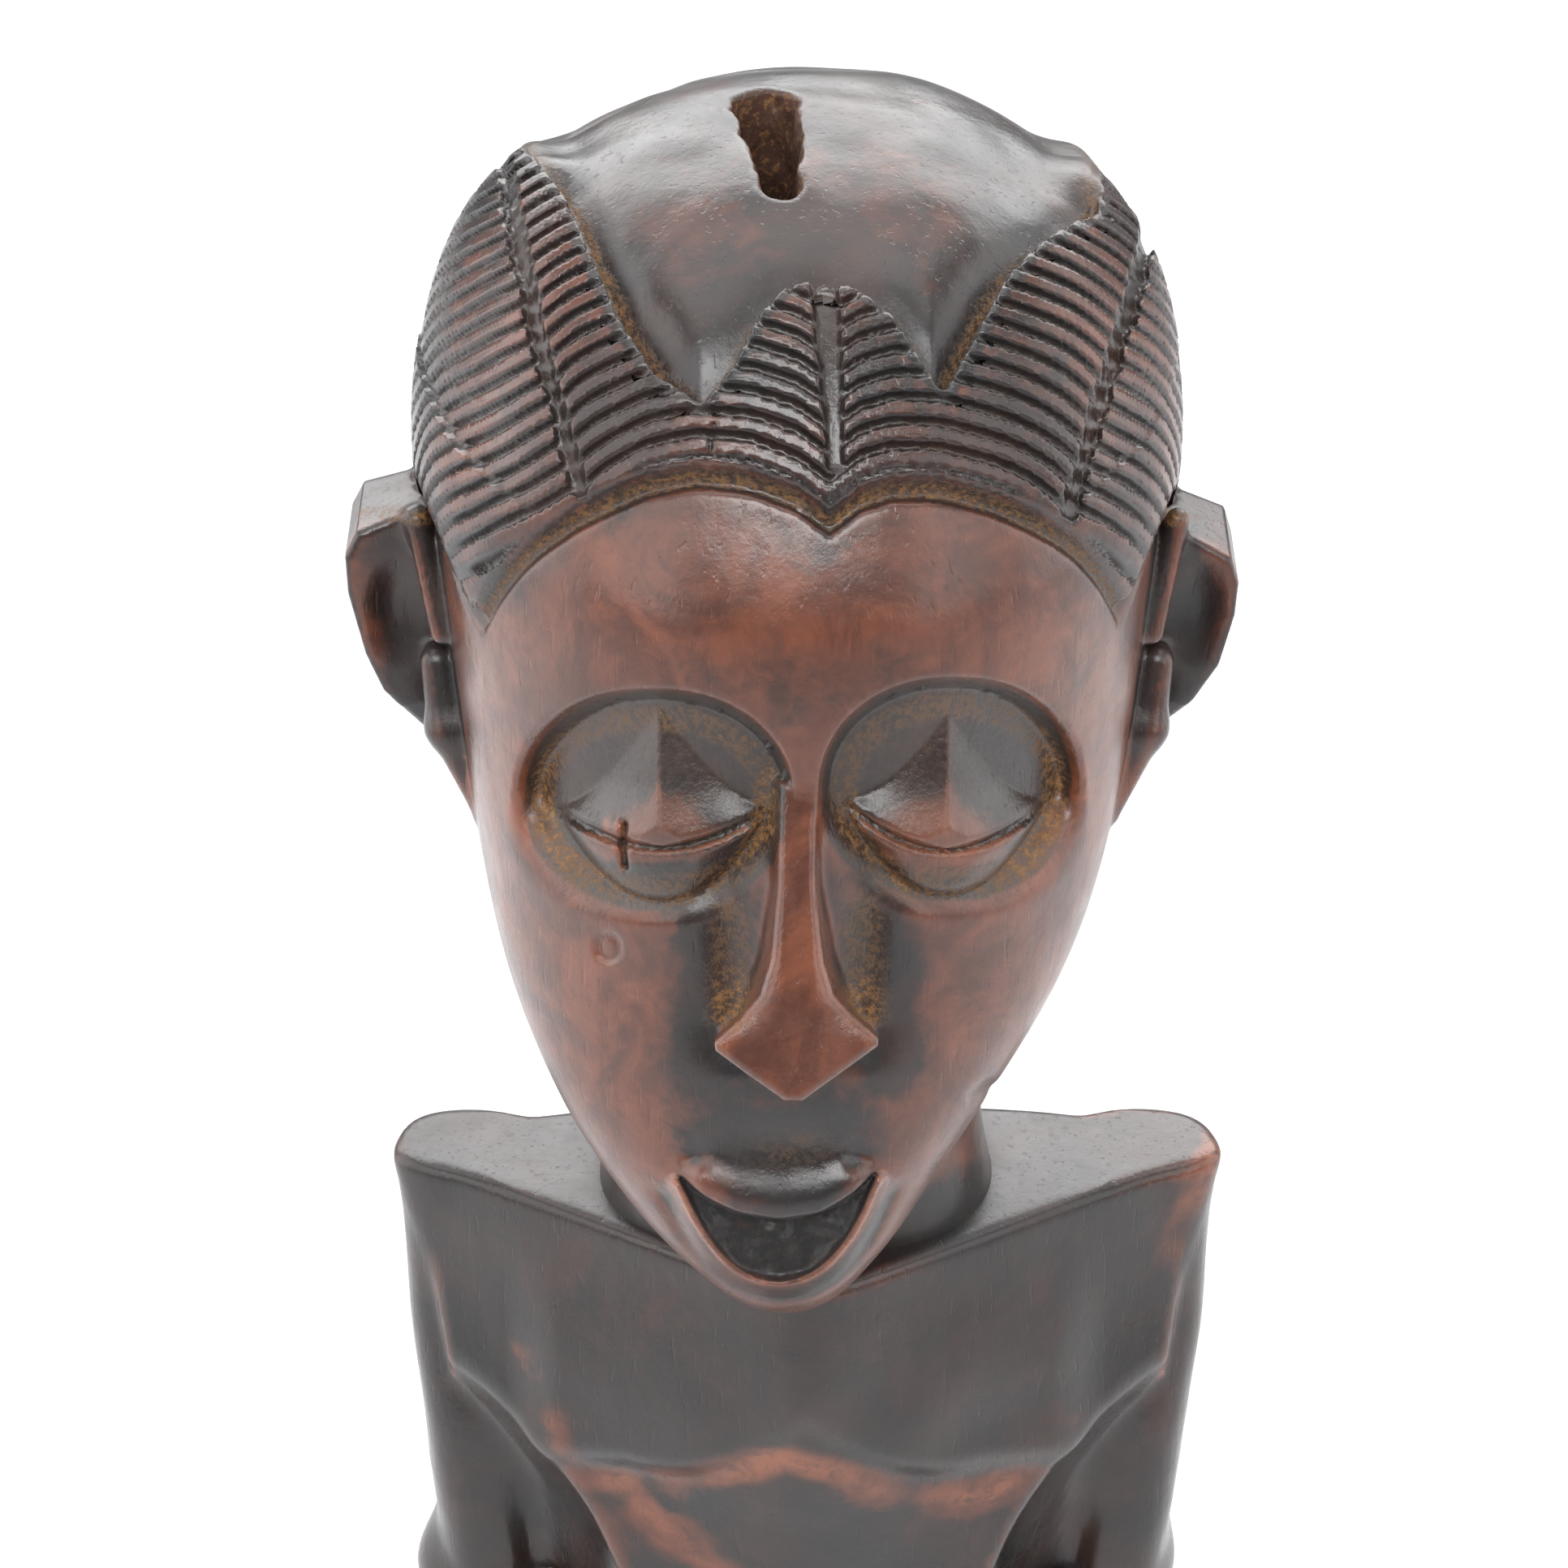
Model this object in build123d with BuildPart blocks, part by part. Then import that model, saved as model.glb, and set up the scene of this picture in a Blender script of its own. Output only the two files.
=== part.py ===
from build123d import *
import os

# A standing fertility doll carved from one block of hardwood.
# Millimetres. +Z is up, the figure faces -Y, and +X is on the viewer's right.
# The origin is under the middle of the doll, on the flat underside of its base.
# Every node is one carved region of the block, and meets its neighbours face to face.

# ---------------------------------------------------------------- driving dimensions
total_height = 357.0
head_half_width = 35.2
shoulder_half_width = 42.0
shoulder_level = 239.0
shoulder_front_y = -8.0
shoulder_back_y = 18.0

base_height = 14.0
base_half_width = 38.0
base_half_depth = 33.0
base_chamfer = 2.5

stance_x = 15.0
foot_width = 17.0
foot_length = 36.0
foot_center_y = -4.0
foot_top = 24.0
hip_level = 94.0
waist_level = 114.0

chest_cut_x = 31.0
elbow_level = 187.0
elbow_x = 35.0
hand_level = 146.0

neck_half_width = 20.0
neck_half_depth = 15.0
neck_y = 5.0
neck_top = 286.0

hair_front_level = 336.0
cap_floor = 338.0

socket_radius = 3.8
socket_front_radius = 2.4
socket_back = (-2.8, 8.4)
socket_front = (-1.4, -3.0)
socket_floor = 340.0
residue_top = 343.5

ear_thickness = 6.5
ear_y = 5.0
ear_hollow_depth = 2.5


# ---------------------------------------------------------------- shared shapes
def ellipse_loft(sections):
    """A smooth solid through level ellipses: (height, centre x, centre y, half width, half depth)."""
    with BuildPart() as blank:
        for height, center_x, center_y, half_width, half_depth in sections:
            with BuildSketch(Plane.XY.offset(height)):
                with Locations((center_x, center_y)):
                    Ellipse(half_width, half_depth)
        loft()
    return blank.part


def slab_loft(sections):
    """A smooth solid through level rounded rectangles: (height, centre y, width, depth, corner)."""
    with BuildPart() as blank:
        for height, center_y, width, depth, corner in sections:
            with BuildSketch(Plane.XY.offset(height)):
                with Locations((0, center_y)):
                    RectangleRounded(width, depth, corner)
        loft()
    return blank.part


def limb(points, radii):
    """A tapering limb: a ball at each point, and a cone between each two balls."""
    with BuildPart() as blank:
        for point, radius in zip(points, radii):
            with Locations(point):
                Sphere(radius)
        for start, end, start_radius, end_radius in zip(points, points[1:], radii, radii[1:]):
            along = Vector(*end) - Vector(*start)
            foot_plane = Plane(origin=start, z_dir=along)
            with BuildSketch(foot_plane):
                Circle(start_radius)
            with BuildSketch(foot_plane.offset(along.length)):
                Circle(end_radius)
            loft()
    return blank.part


def save(builder, name):
    builder.part.label = name
    export_step(builder.part, f"parts/{name}.step")


os.makedirs("parts", exist_ok=True)
sides = {"left": -1, "right": 1}

# ---------------------------------------------------------------- base
with BuildPart() as base:
    with BuildSketch():
        Ellipse(base_half_width, base_half_depth)
    extrude(amount=base_height)
    chamfer(base.edges().group_by(Axis.Z)[-1], length=base_chamfer)
save(base, "base")

# ---------------------------------------------------------------- feet and legs
ankle = (foot_top, 4.0, 8.0, 8.5)
calf = (40.0, 8.0, 9.5, 11.0)
knee = (58.0, -1.0, 9.5, 10.5)
thigh = (76.0, 3.0, 11.5, 13.5)
leg_top = (hip_level, 7.0, 12.5, 16.0)

for side, sign in sides.items():
    with BuildPart() as foot:
        with BuildSketch(Plane.XY.offset(base_height)):
            with Locations((sign * stance_x, foot_center_y)):
                RectangleRounded(foot_width, foot_length, foot_width * 0.4)
        extrude(amount=foot_top - base_height)
        toe_edge = foot.edges().group_by(Axis.Z)[-1].sort_by(Axis.Y)[0]
        chamfer(toe_edge, length=4.0)
    save(foot, f"{side}_foot")

    with BuildPart() as leg:
        add(ellipse_loft([(z, sign * stance_x, y, rx, ry) for z, y, rx, ry in
                          (ankle, calf, knee, thigh, leg_top)]))
    save(leg, f"{side}_leg")

# ---------------------------------------------------------------- hips
with BuildPart() as hips:
    add(slab_loft([
        (hip_level, 7.0, 55.0, 34.0, 14.0),
        (102.0, 9.0, 56.0, 39.0, 16.0),
        (waist_level, 6.0, 46.0, 35.0, 15.0),
    ]))
save(hips, "hips")

# ---------------------------------------------------------------- torso
shoulder_depth = shoulder_back_y - shoulder_front_y
shoulder_center_y = (shoulder_front_y + shoulder_back_y) / 2

torso_sections = [
    (waist_level, 6.0, 46.0, 35.0, 15.0),
    (136.0, 3.0, 42.0, 38.0, 16.0),
    (162.0, 4.0, 37.0, 28.0, 12.0),
    (184.0, 4.0, 39.0, 25.0, 10.0),
    (206.0, 4.5, 58.0, 26.0, 9.0),
    (shoulder_level, shoulder_center_y, 2 * shoulder_half_width, shoulder_depth, 7.0),
]
with BuildPart() as torso:
    add(slab_loft(torso_sections))
    with Locations((0, 0, shoulder_level)):
        Box(2 * chest_cut_x, 100, 400, mode=Mode.INTERSECT)
save(torso, "torso")

# ---------------------------------------------------------------- arms
upper_arm_sections = [
    (elbow_level, elbow_x, 8.0, 5.3, 8.0),
    (205.0, 35.5, 8.0, 5.5, 7.8),
    (222.0, 36.0, 8.0, 6.0, 8.5),
    (233.0, 35.5, 6.0, 6.5, 11.0),
    (shoulder_level, 35.0, shoulder_center_y, 7.0, shoulder_depth / 2),
]
for side, sign in sides.items():
    with BuildPart() as upper_arm:
        add(ellipse_loft([(z, sign * x, y, rx, ry) for z, x, y, rx, ry in upper_arm_sections]))
        add(torso.part, mode=Mode.SUBTRACT)
    save(upper_arm, f"{side}_upper_arm")

    with BuildPart() as forearm:
        elbow = (sign * elbow_x, 8.0, elbow_level - 6.0)
        wrist = (sign * 26.0, -8.0, 158.0)
        palm = (sign * 16.0, -14.0, hand_level)
        add(limb([elbow, wrist, palm], [6.0, 4.6, 4.8]))
        add(torso.part, mode=Mode.SUBTRACT)
        with Locations((0, 0, elbow_level)):
            Box(200, 200, 200, align=(Align.CENTER, Align.CENTER, Align.MIN), mode=Mode.SUBTRACT)
    save(forearm, f"{side}_forearm")

# ---------------------------------------------------------------- head blank
# The whole head is one smooth blank. The face, the coiffure and the crown cap are cut from it.
head_blank = ellipse_loft([
    (247.0, 0, -28.2, 3.5, 3.2),
    (251.0, 0, -24.0, 9.5, 10.0),
    (258.0, 0, -19.5, 16.0, 16.5),
    (266.0, 0, -15.0, 22.0, 21.0),
    (278.0, 0, -8.5, 27.2, 26.5),
    (290.0, 0, -2.2, 30.2, 31.2),
    (302.0, 0, 2.0, 32.0, 35.0),
    (315.0, 0, 4.0, 33.8, 38.0),
    (328.0, 0, 5.8, head_half_width, 38.2),
    (340.0, 0, 8.0, 33.5, 35.0),
    (349.0, 0, 10.0, 27.0, 28.0),
    (355.0, 0, 12.0, 17.0, 18.0),
    (total_height, 0, 12.0, 8.0, 9.0),
])

# The region that the hair covers, seen from the side: a high front, the temples, the nape.
with BuildPart(mode=Mode.PRIVATE) as hair_region:
    with BuildSketch(Plane.YZ):
        with BuildLine():
            Polyline((-60, hair_front_level), (-28, hair_front_level), (-16, 326), (-4, 308),
                     (14, 290), (50, 266), (70, 266), (70, 400), (-60, 400), close=True)
        make_face()
    extrude(amount=60, both=True)

# The region of the smooth cap, seen from above: two points in front, with a lobe between them.
with BuildPart(mode=Mode.PRIVATE) as cap_region:
    with BuildSketch(Plane.XY.offset(cap_floor)):
        with BuildLine():
            cap_lobe = ThreePointArc((-8, -25), (2, -17), (12, -25))
            right_edge = Spline(cap_lobe @ 1, (22, -8), (25.5, 12), (18, 32), (0, 38))
            Spline(right_edge @ 1, (-18, 32), (-25.5, 12), (-21, -6), cap_lobe @ 0)
        make_face()
    extrude(amount=60)

# ---------------------------------------------------------------- neck
with BuildPart() as neck:
    add(ellipse_loft([
        (shoulder_level, 0, neck_y, neck_half_width, neck_half_depth),
        (248.0, 0, neck_y, neck_half_width - 1.5, neck_half_depth),
        (neck_top, 0, neck_y, neck_half_width, neck_half_depth),
    ]))
    add(head_blank, mode=Mode.SUBTRACT)
save(neck, "neck")

# ---------------------------------------------------------------- face
nose_tip_level = 283.0
nose_bridge_level = 308.0
nose_tip_y = -44.0
eye_level = 306.0
eye_x = 13.0
mouth_level = 262.0

with BuildPart() as face:
    add(head_blank)
    with BuildSketch(Plane.YZ):
        with BuildLine():
            Polyline((-28, nose_bridge_level), (-36, nose_bridge_level - 3), (nose_tip_y, nose_tip_level + 2),
                     (nose_tip_y, nose_tip_level), (-28, nose_tip_level - 6), close=True)
        make_face()
    extrude(amount=4.0, both=True)
    with Locations((-eye_x, -43.0, eye_level), (eye_x, -43.0, eye_level)):
        Sphere(13.5, mode=Mode.SUBTRACT)
    with Locations((0, -38.0, mouth_level)):
        Box(15.0, 14.0, 5.0, mode=Mode.SUBTRACT)
    add(hair_region.part, mode=Mode.SUBTRACT)
save(face, "face")

# ---------------------------------------------------------------- ears
for side, sign in sides.items():
    ear_back = Plane(origin=(0, ear_y + ear_thickness / 2, 0), x_dir=(1, 0, 0), z_dir=(0, -1, 0))
    with BuildPart() as ear:
        with BuildSketch(ear_back):
            with BuildLine():
                top_edge = Line((sign * 24, 315.5), (sign * 40, 314.0))
                rim = ThreePointArc(top_edge @ 1, (sign * 42, 305.0), (sign * 38, 295.0))
                Polyline(rim @ 1, (sign * 33, 285.0), (sign * 24, 282.0), top_edge @ 0)
            make_face()
        extrude(amount=ear_thickness)
        with BuildSketch(ear_back.offset(ear_thickness - ear_hollow_depth)):
            with Locations((sign * 36.2, 304.5)):
                Ellipse(3.6, 8.0)
        extrude(amount=ear_hollow_depth, mode=Mode.SUBTRACT)
        add(head_blank, mode=Mode.SUBTRACT)
    save(ear, f"{side}_ear")

# ---------------------------------------------------------------- crown cap and its socket
socket_plane = Plane.XY.offset(socket_floor)
with BuildPart(mode=Mode.PRIVATE) as socket:
    with BuildSketch(socket_plane):
        with Locations(socket_back):
            Circle(socket_radius)
        with Locations(socket_front):
            Circle(socket_front_radius)
        make_hull()
    extrude(amount=40)

with BuildPart() as crown_cap:
    add(head_blank)
    add(cap_region.part, mode=Mode.INTERSECT)
    add(socket.part, mode=Mode.SUBTRACT)
save(crown_cap, "crown_cap")

with BuildPart() as coiffure:
    add(head_blank)
    add(hair_region.part, mode=Mode.INTERSECT)
    add(cap_region.part, mode=Mode.SUBTRACT)
save(coiffure, "coiffure")

# ---------------------------------------------------------------- residue in the socket
with BuildPart() as socket_residue:
    add(socket.part)
    with Locations((0, 0, residue_top)):
        Box(200, 200, 200, align=(Align.CENTER, Align.CENTER, Align.MIN), mode=Mode.SUBTRACT)
save(socket_residue, "socket_residue")
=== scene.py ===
import math
from concurrent.futures import ThreadPoolExecutor

import bpy
import numpy as np
import openvdb
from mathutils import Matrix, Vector


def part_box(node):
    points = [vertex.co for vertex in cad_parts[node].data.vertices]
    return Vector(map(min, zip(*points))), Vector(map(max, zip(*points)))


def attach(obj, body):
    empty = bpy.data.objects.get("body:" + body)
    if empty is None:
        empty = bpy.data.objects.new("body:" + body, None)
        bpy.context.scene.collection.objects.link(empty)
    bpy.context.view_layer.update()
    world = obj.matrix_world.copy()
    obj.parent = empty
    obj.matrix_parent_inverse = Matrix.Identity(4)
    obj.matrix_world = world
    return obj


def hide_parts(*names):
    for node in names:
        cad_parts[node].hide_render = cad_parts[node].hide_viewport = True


# A fertility doll carved from one block of hardwood, sculpted around its CAD regions.
# The figure is one implicit surface in millimetres, in the CAD's frame: +Z is up and it faces -Y.
# The head is meshed finely and the body more coarsely. Both are cut into the CAD's regions, and every
# region but the socket's residue has the same procedural wood.

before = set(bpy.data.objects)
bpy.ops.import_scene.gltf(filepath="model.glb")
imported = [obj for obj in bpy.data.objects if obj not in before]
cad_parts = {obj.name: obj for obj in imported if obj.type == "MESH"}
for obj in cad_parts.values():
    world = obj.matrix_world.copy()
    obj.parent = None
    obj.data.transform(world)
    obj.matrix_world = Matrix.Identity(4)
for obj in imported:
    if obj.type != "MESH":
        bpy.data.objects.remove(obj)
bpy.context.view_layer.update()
MM = 0.001


def cad_box(node):
    """A CAD node's lowest and highest corners, in millimetres."""
    low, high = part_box(node)
    return np.array(low) / MM, np.array(high) / MM


# ---- levels, taken from the CAD
CROWN = cad_box("crown_cap")[1][2]
CHIN = cad_box("face")[0][2]
SHOULDER = cad_box("torso")[1][2]
WAIST = cad_box("torso")[0][2]
HIP = cad_box("hips")[0][2]
FOOT_TOP = cad_box("left_foot")[1][2]
BASE_TOP = cad_box("base")[1][2]
BASE_HALF = cad_box("base")[1][:2]
ELBOW = cad_box("left_forearm")[1][2]
STANCE = (cad_box("right_foot")[0][0] + cad_box("right_foot")[1][0]) / 2
RESIDUE_TOP = cad_box("socket_residue")[1][2]
CAP_LOW = CROWN - 25.0      # the smooth cap ends at this level behind
HEAD_MIDDLE = CROWN - 39.0
EYE_LEVEL = CROWN - 49.0

HEAD_STEP, BODY_STEP = ((0.36, 0.62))      # the meshes' cell sizes


# ---- small maths
def smooth_curve(x, keys):
    """A smooth curve through (position, value) keys that never overshoots them."""
    at, value = np.array(keys, float).T
    gap = np.diff(at)
    rise = np.diff(value) / gap
    slope = np.zeros_like(value)
    slope[0], slope[-1] = rise[0], rise[-1]
    same = rise[:-1] * rise[1:] > 0
    slope[1:-1][same] = 2 * rise[:-1][same] * rise[1:][same] / (rise[:-1] + rise[1:])[same]
    x = np.clip(x, at[0], at[-1])
    i = np.clip(np.searchsorted(at, x) - 1, 0, len(at) - 2)
    t = (x - at[i]) / gap[i]
    start = (2 * t**3 - 3 * t**2 + 1) * value[i] + (t**3 - 2 * t**2 + t) * gap[i] * slope[i]
    end = (3 * t**2 - 2 * t**3) * value[i + 1] + (t**3 - t**2) * gap[i] * slope[i + 1]
    return start + end


def step(low, high, x):
    """Runs smoothly from 0 at low to 1 at high."""
    t = np.clip((x - low) / (high - low), 0, 1)
    return t * t * (3 - 2 * t)


def hill(x, width):
    """1 at zero, falling away to either side."""
    return np.exp(-(x / width) ** 2)


def join(a, b, blend):
    """The union of two shapes, with a fillet."""
    h = np.clip(0.5 + 0.5 * (b - a) / blend, 0, 1)
    return b + (a - b) * h - blend * h * (1 - h)


def cut(a, b, blend):
    """Shape a without shape b, with a rounded edge."""
    return -join(-a, b, blend)


def both(a, b, blend):
    """What two shapes share, with a rounded edge."""
    return -join(-a, -b, blend)


def hashed(ix, iy, iz, seed):
    """A repeatable number from -1 to 1 for each cell."""
    n = (ix * 73856093) ^ (iy * 19349663) ^ (iz * 83492791) ^ (seed * 2654435)
    n = (n ^ (n >> 13)) * 1274126177
    return ((n ^ (n >> 16)) & 0xFFFF) / 32767.5 - 1


def noise(P, size, seed):
    """Smooth noise from -1 to 1 whose lumps are about size across."""
    q = P / size
    i = np.floor(q).astype(np.int64)
    f = q - i
    f = f * f * (3 - 2 * f)
    total = 0
    for corner in range(8):
        o = (corner & 1, corner >> 1 & 1, corner >> 2 & 1)
        weight = 1
        for axis in range(3):
            weight = weight * (f[:, axis] if o[axis] else 1 - f[:, axis])
        total = total + weight * hashed(i[:, 0] + o[0], i[:, 1] + o[1], i[:, 2] + o[2], seed)
    return total


def line_distance(u, v, points):
    """Distance in a plane from (u, v) to a run of straight lines."""
    best = np.full(np.shape(u), 1e9)
    for (u0, v0), (u1, v1) in zip(points, points[1:]):
        du, dv = u1 - u0, v1 - v0
        t = np.clip(((u - u0) * du + (v - v0) * dv) / (du * du + dv * dv), 0, 1)
        best = np.minimum(best, (u - u0 - t * du) ** 2 + (v - v0 - t * dv) ** 2)
    return np.sqrt(best)


def outline_distance(u, v, points):
    """Signed distance in a plane to a closed outline, negative inside it."""
    ring = list(points) + [points[0]]
    inside = np.zeros(np.shape(u), bool)
    for (u0, v0), (u1, v1) in zip(ring, ring[1:]):
        if v0 != v1:
            inside ^= ((v0 > v) != (v1 > v)) & (u < (u1 - u0) * (v - v0) / (v1 - v0) + u0)
    return np.where(inside, -1, 1) * line_distance(u, v, ring)


def rounded_outline(points, per_side=6):
    """A closed smooth outline through a few points, as a finer ring of points."""
    p = np.array(points, float)
    before, after, later = np.roll(p, 1, 0), np.roll(p, -1, 0), np.roll(p, -2, 0)
    ring = []
    for i in range(len(p)):
        for t in np.arange(per_side) / per_side:
            ring.append(0.5 * (2 * p[i] + (after[i] - before[i]) * t
                        + (2 * before[i] - 5 * p[i] + 4 * after[i] - later[i]) * t**2
                        + (3 * p[i] - before[i] - 3 * after[i] + later[i]) * t**3))
    return [tuple(q) for q in ring]


# ---- simple shapes
def ball(P, center, radii):
    q = P - np.array(center, float)
    r = np.array(radii, float)
    k = np.linalg.norm(q / r, axis=1)
    return k * (k - 1) / np.maximum(np.linalg.norm(q / r**2, axis=1), 1e-6)


def cone(P, start, end, start_radius, end_radius):
    """A limb between two points, round in section."""
    a, b = np.array(start, float), np.array(end, float)
    along = b - a
    t = np.clip((P - a) @ along / (along @ along), 0, 1)
    away = np.linalg.norm(P - a - t[:, None] * along, axis=1)
    return away - (start_radius + (end_radius - start_radius) * t)


def section(x, y, half_x, half_y, power):
    """Distance to a rounded box in plan, given its half widths."""
    u, v = np.abs(x / half_x), np.abs(y / half_y)
    k = np.maximum((u**power + v**power) ** (1 / power), 1e-4)
    slope = k ** (1 - power) * np.hypot(u ** (power - 1) / half_x, v ** (power - 1) / half_y)
    return (k - 1) / np.maximum(slope, 0.5 / np.maximum(half_x, half_y))


def stack(P, center_x, half, front, back, power):
    """A shape whose level sections follow smooth curves: half width, front and back."""
    z = P[:, 2]
    f, b = smooth_curve(z, front), smooth_curve(z, back)
    return section(P[:, 0] - center_x, P[:, 1] - (f + b) / 2, smooth_curve(z, half), (b - f) / 2, power)


# ---- the head blank
HEAD_HALF = [(CHIN - 4, 9), (250, 12.5), (258, 18), (266, 23), (278, 28), (290, 30.6), (302, 32.2),
             (315, 33.3), (328, 34.0), (340, 34.2), (360, 34.4)]
HEAD_FRONT = [(CHIN - 4, -33), (250, -35.4), (258, -36.6), (266, -36.6), (278, -35.3), (290, -34.5),
              (302, -34.5), (315, -35), (325, -34.5), (335, -32), (345, -30), (360, -29)]
HEAD_BACK = [(CHIN - 4, -16), (250, -8), (258, 2), (266, 12), (278, 24), (290, 33), (302, 39),
             (315, 43), (328, 44), (345, 43), (360, 42)]
CHIN_SWING = -1.1          # the carver's chin lies a little to the left
HEAD_POWER = 2.45          # how square the crown's corners are


def head_field(P):
    """An egg with flattened sides and a narrow jaw, zero on its surface."""
    z = P[:, 2]
    x = P[:, 0] - CHIN_SWING * step(305, CHIN, z)
    f, b = smooth_curve(z, HEAD_FRONT), smooth_curve(z, HEAD_BACK)
    half = smooth_curve(z, HEAD_HALF) - 3.3 * hill(z - 263, 13) * step(-4, 8, x)
    k = np.hypot(x / half, (P[:, 1] - (f + b) / 2) / ((b - f) / 2))
    up = np.clip((z - HEAD_MIDDLE) / (CROWN - 1.4 - HEAD_MIDDLE), 0, None)
    down = np.clip((HEAD_MIDDLE - z) / (HEAD_MIDDLE - CHIN + 1.4), 0, None)
    return (k**HEAD_POWER + up**HEAD_POWER + down**9) ** (1 / HEAD_POWER) - 1


def gradient(shape, P, reach=0.05):
    """The slope of a shape at each point, from four samples."""
    total = np.zeros_like(P)
    for corner in ((1, 1, 1), (1, -1, -1), (-1, 1, -1), (-1, -1, 1)):
        side = np.array(corner, float)
        total += shape(P + reach * side)[:, None] * side
    return total / (4 * reach)


def head_blank(P):
    """The distance to the uncarved head."""
    slope = np.linalg.norm(gradient(head_field, P), axis=1)
    return head_field(P) / np.clip(slope, 0.008, None)


# ---- the coiffure's layout
# rise is the height across the plaits: it grows up and back, square to the carved lines.
RISE_Y, RISE_Z = 0.79, 0.61
HAIRLINE = [(-34, 179.5), (-29, 180.5), (-24, 182.2), (-19, 183.6), (-13, 184.9), (-8.6, 185.1),
            (-4, 184.3), (0, 182.8), (2.7, 181.0), (5.3, 183.0), (8, 184.0), (12, 184.5),
            (17, 184.2), (24, 183.2), (29, 182.0), (34, 181.0)]
CAP_EDGE = ([(-8.2, -23.7), (-5.8, -22.0), (-3.6, -18.9), (-1.2, -16.8), (2.2, -16.2), (5.6, -16.8),
             (8.6, -18.4), (10.6, -20.4), (12.3, -21.8), (14.8, -17.7), (17.6, -11.9), (22.4, -4.4),
             (26.6, 2.5), (27.5, 13)]
            + [(24, 28), (15.5, 38), (10, 34), (0, 31.5), (-10, 34), (-15.5, 38), (-23, 29)]
            + [(-26, 18), (-23.9, 8), (-20.2, -1.6), (-17.9, -9.0), (-15.2, -16.0), (-12.0, -21.0)])
LEFT_PARTING = [(184.0, -18.6), (191.4, -20.6), (200, -22.9), (209, -24.6), (221, -26.6), (240, -29)]
RIGHT_PARTING = [(183.6, 23.4), (193.3, 26.2), (205.5, 29.6), (214, 31.6), (224, 32.6), (240, 33)]
CENTER_PARTING = [(184.0, 3.2), (191.6, 2.9), (199.5, 2.3)]
PLAIT_PITCH = 2.03
LOW_HAIR = [(-60, 318), (-17, 317.5), (-8, 320), (0, 319), (6, 314), (12, 304), (22, 290), (36, 278),
            (60, 272)]


def rise(P):
    """Height across the plaits."""
    return RISE_Y * P[:, 1] + RISE_Z * P[:, 2]


def above_hairline(P):
    """Positive in the hair: how far a point is above the hair's lower edge."""
    front = rise(P) - np.interp(P[:, 0], *np.array(HAIRLINE).T)
    low = (P[:, 2] - smooth_curve(P[:, 1], LOW_HAIR)) * 0.75
    return np.where(P[:, 1] < 30, np.minimum(front, low), low)


def outside_cap(P):
    """Positive outside the smooth crown cap, seen from above."""
    edge = outline_distance(P[:, 0], P[:, 1], CAP_EDGE)
    return np.where(P[:, 2] > CAP_LOW, edge, 9.0)


def partings(P):
    """Distances right of the left parting and left of the right parting, and to the middle one."""
    r = rise(P)
    left = P[:, 0] - np.interp(r, *np.array(LEFT_PARTING).T)
    right = np.interp(r, *np.array(RIGHT_PARTING).T) - P[:, 0]
    middle = np.abs(P[:, 0] - np.interp(r, *np.array(CENTER_PARTING).T))
    return left, right, middle


def plait_phase(P):
    """Counts the carved lines across the hair, one for each whole number."""
    x, y, _ = P.T
    left, right, _ = partings(P)
    gull = (np.interp(x, *np.array(HAIRLINE).T) - 184.5) * step(34, 20, np.abs(x))
    inner = np.minimum(left, right)
    spring = -1.7 * np.exp(-np.clip(inner, 0, None) / 2.4) * (inner > 0)
    offset = np.where(inner < 0, 0.5, 0.0)
    back_v = 4.0 * np.exp(-np.abs(x) / 9) * step(20, 34, y)
    wander = 0.16 * noise(P, 7.0, 3)
    return (rise(P) - gull - spring - back_v + wander) / PLAIT_PITCH + offset - 90.9


def coiffure_relief(P):
    """How deep the hair is cut at each point, and how dusty it is there."""
    hair = above_hairline(P)
    outside = outside_cap(P)
    left, right, middle = partings(P)
    phase = plait_phase(P)
    across = phase - np.floor(phase)
    width = 0.36 + 0.06 * noise(P, 5.0, 8)
    groove = step(0.0, 0.16, across) * step(width + 0.16, width - 0.02, across)
    groove = groove * step(0.35, 0.9, hair) * step(0.3, 1.1, outside)
    depth = 1.0 * groove - 0.08 * np.cos(2 * math.pi * (across - 0.20))
    notch = 0.3 * noise(P, 1.6, 5)
    side_cut = np.maximum(step(0.85, 0.4, np.abs(left) + notch), step(0.85, 0.4, np.abs(right) + notch))
    level = rise(P)
    side_cut = side_cut * step(183.2, 185.2, level) * step(0.5, 6.0, outside)
    middle_half = np.interp(level, [184, 199], [0.5, 1.05])
    middle_cut = step(middle_half + 0.4, middle_half - 0.1, middle + 0.5 * notch) * step(183.6, 185, level)
    middle_cut = middle_cut * (level < 202) * (P[:, 1] < 20)
    parting = np.maximum(side_cut, middle_cut) * step(0.2, 0.9, outside) * step(0, 0.8, hair)
    return np.maximum(depth, 1.15 * parting), np.maximum(groove, parting)


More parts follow.
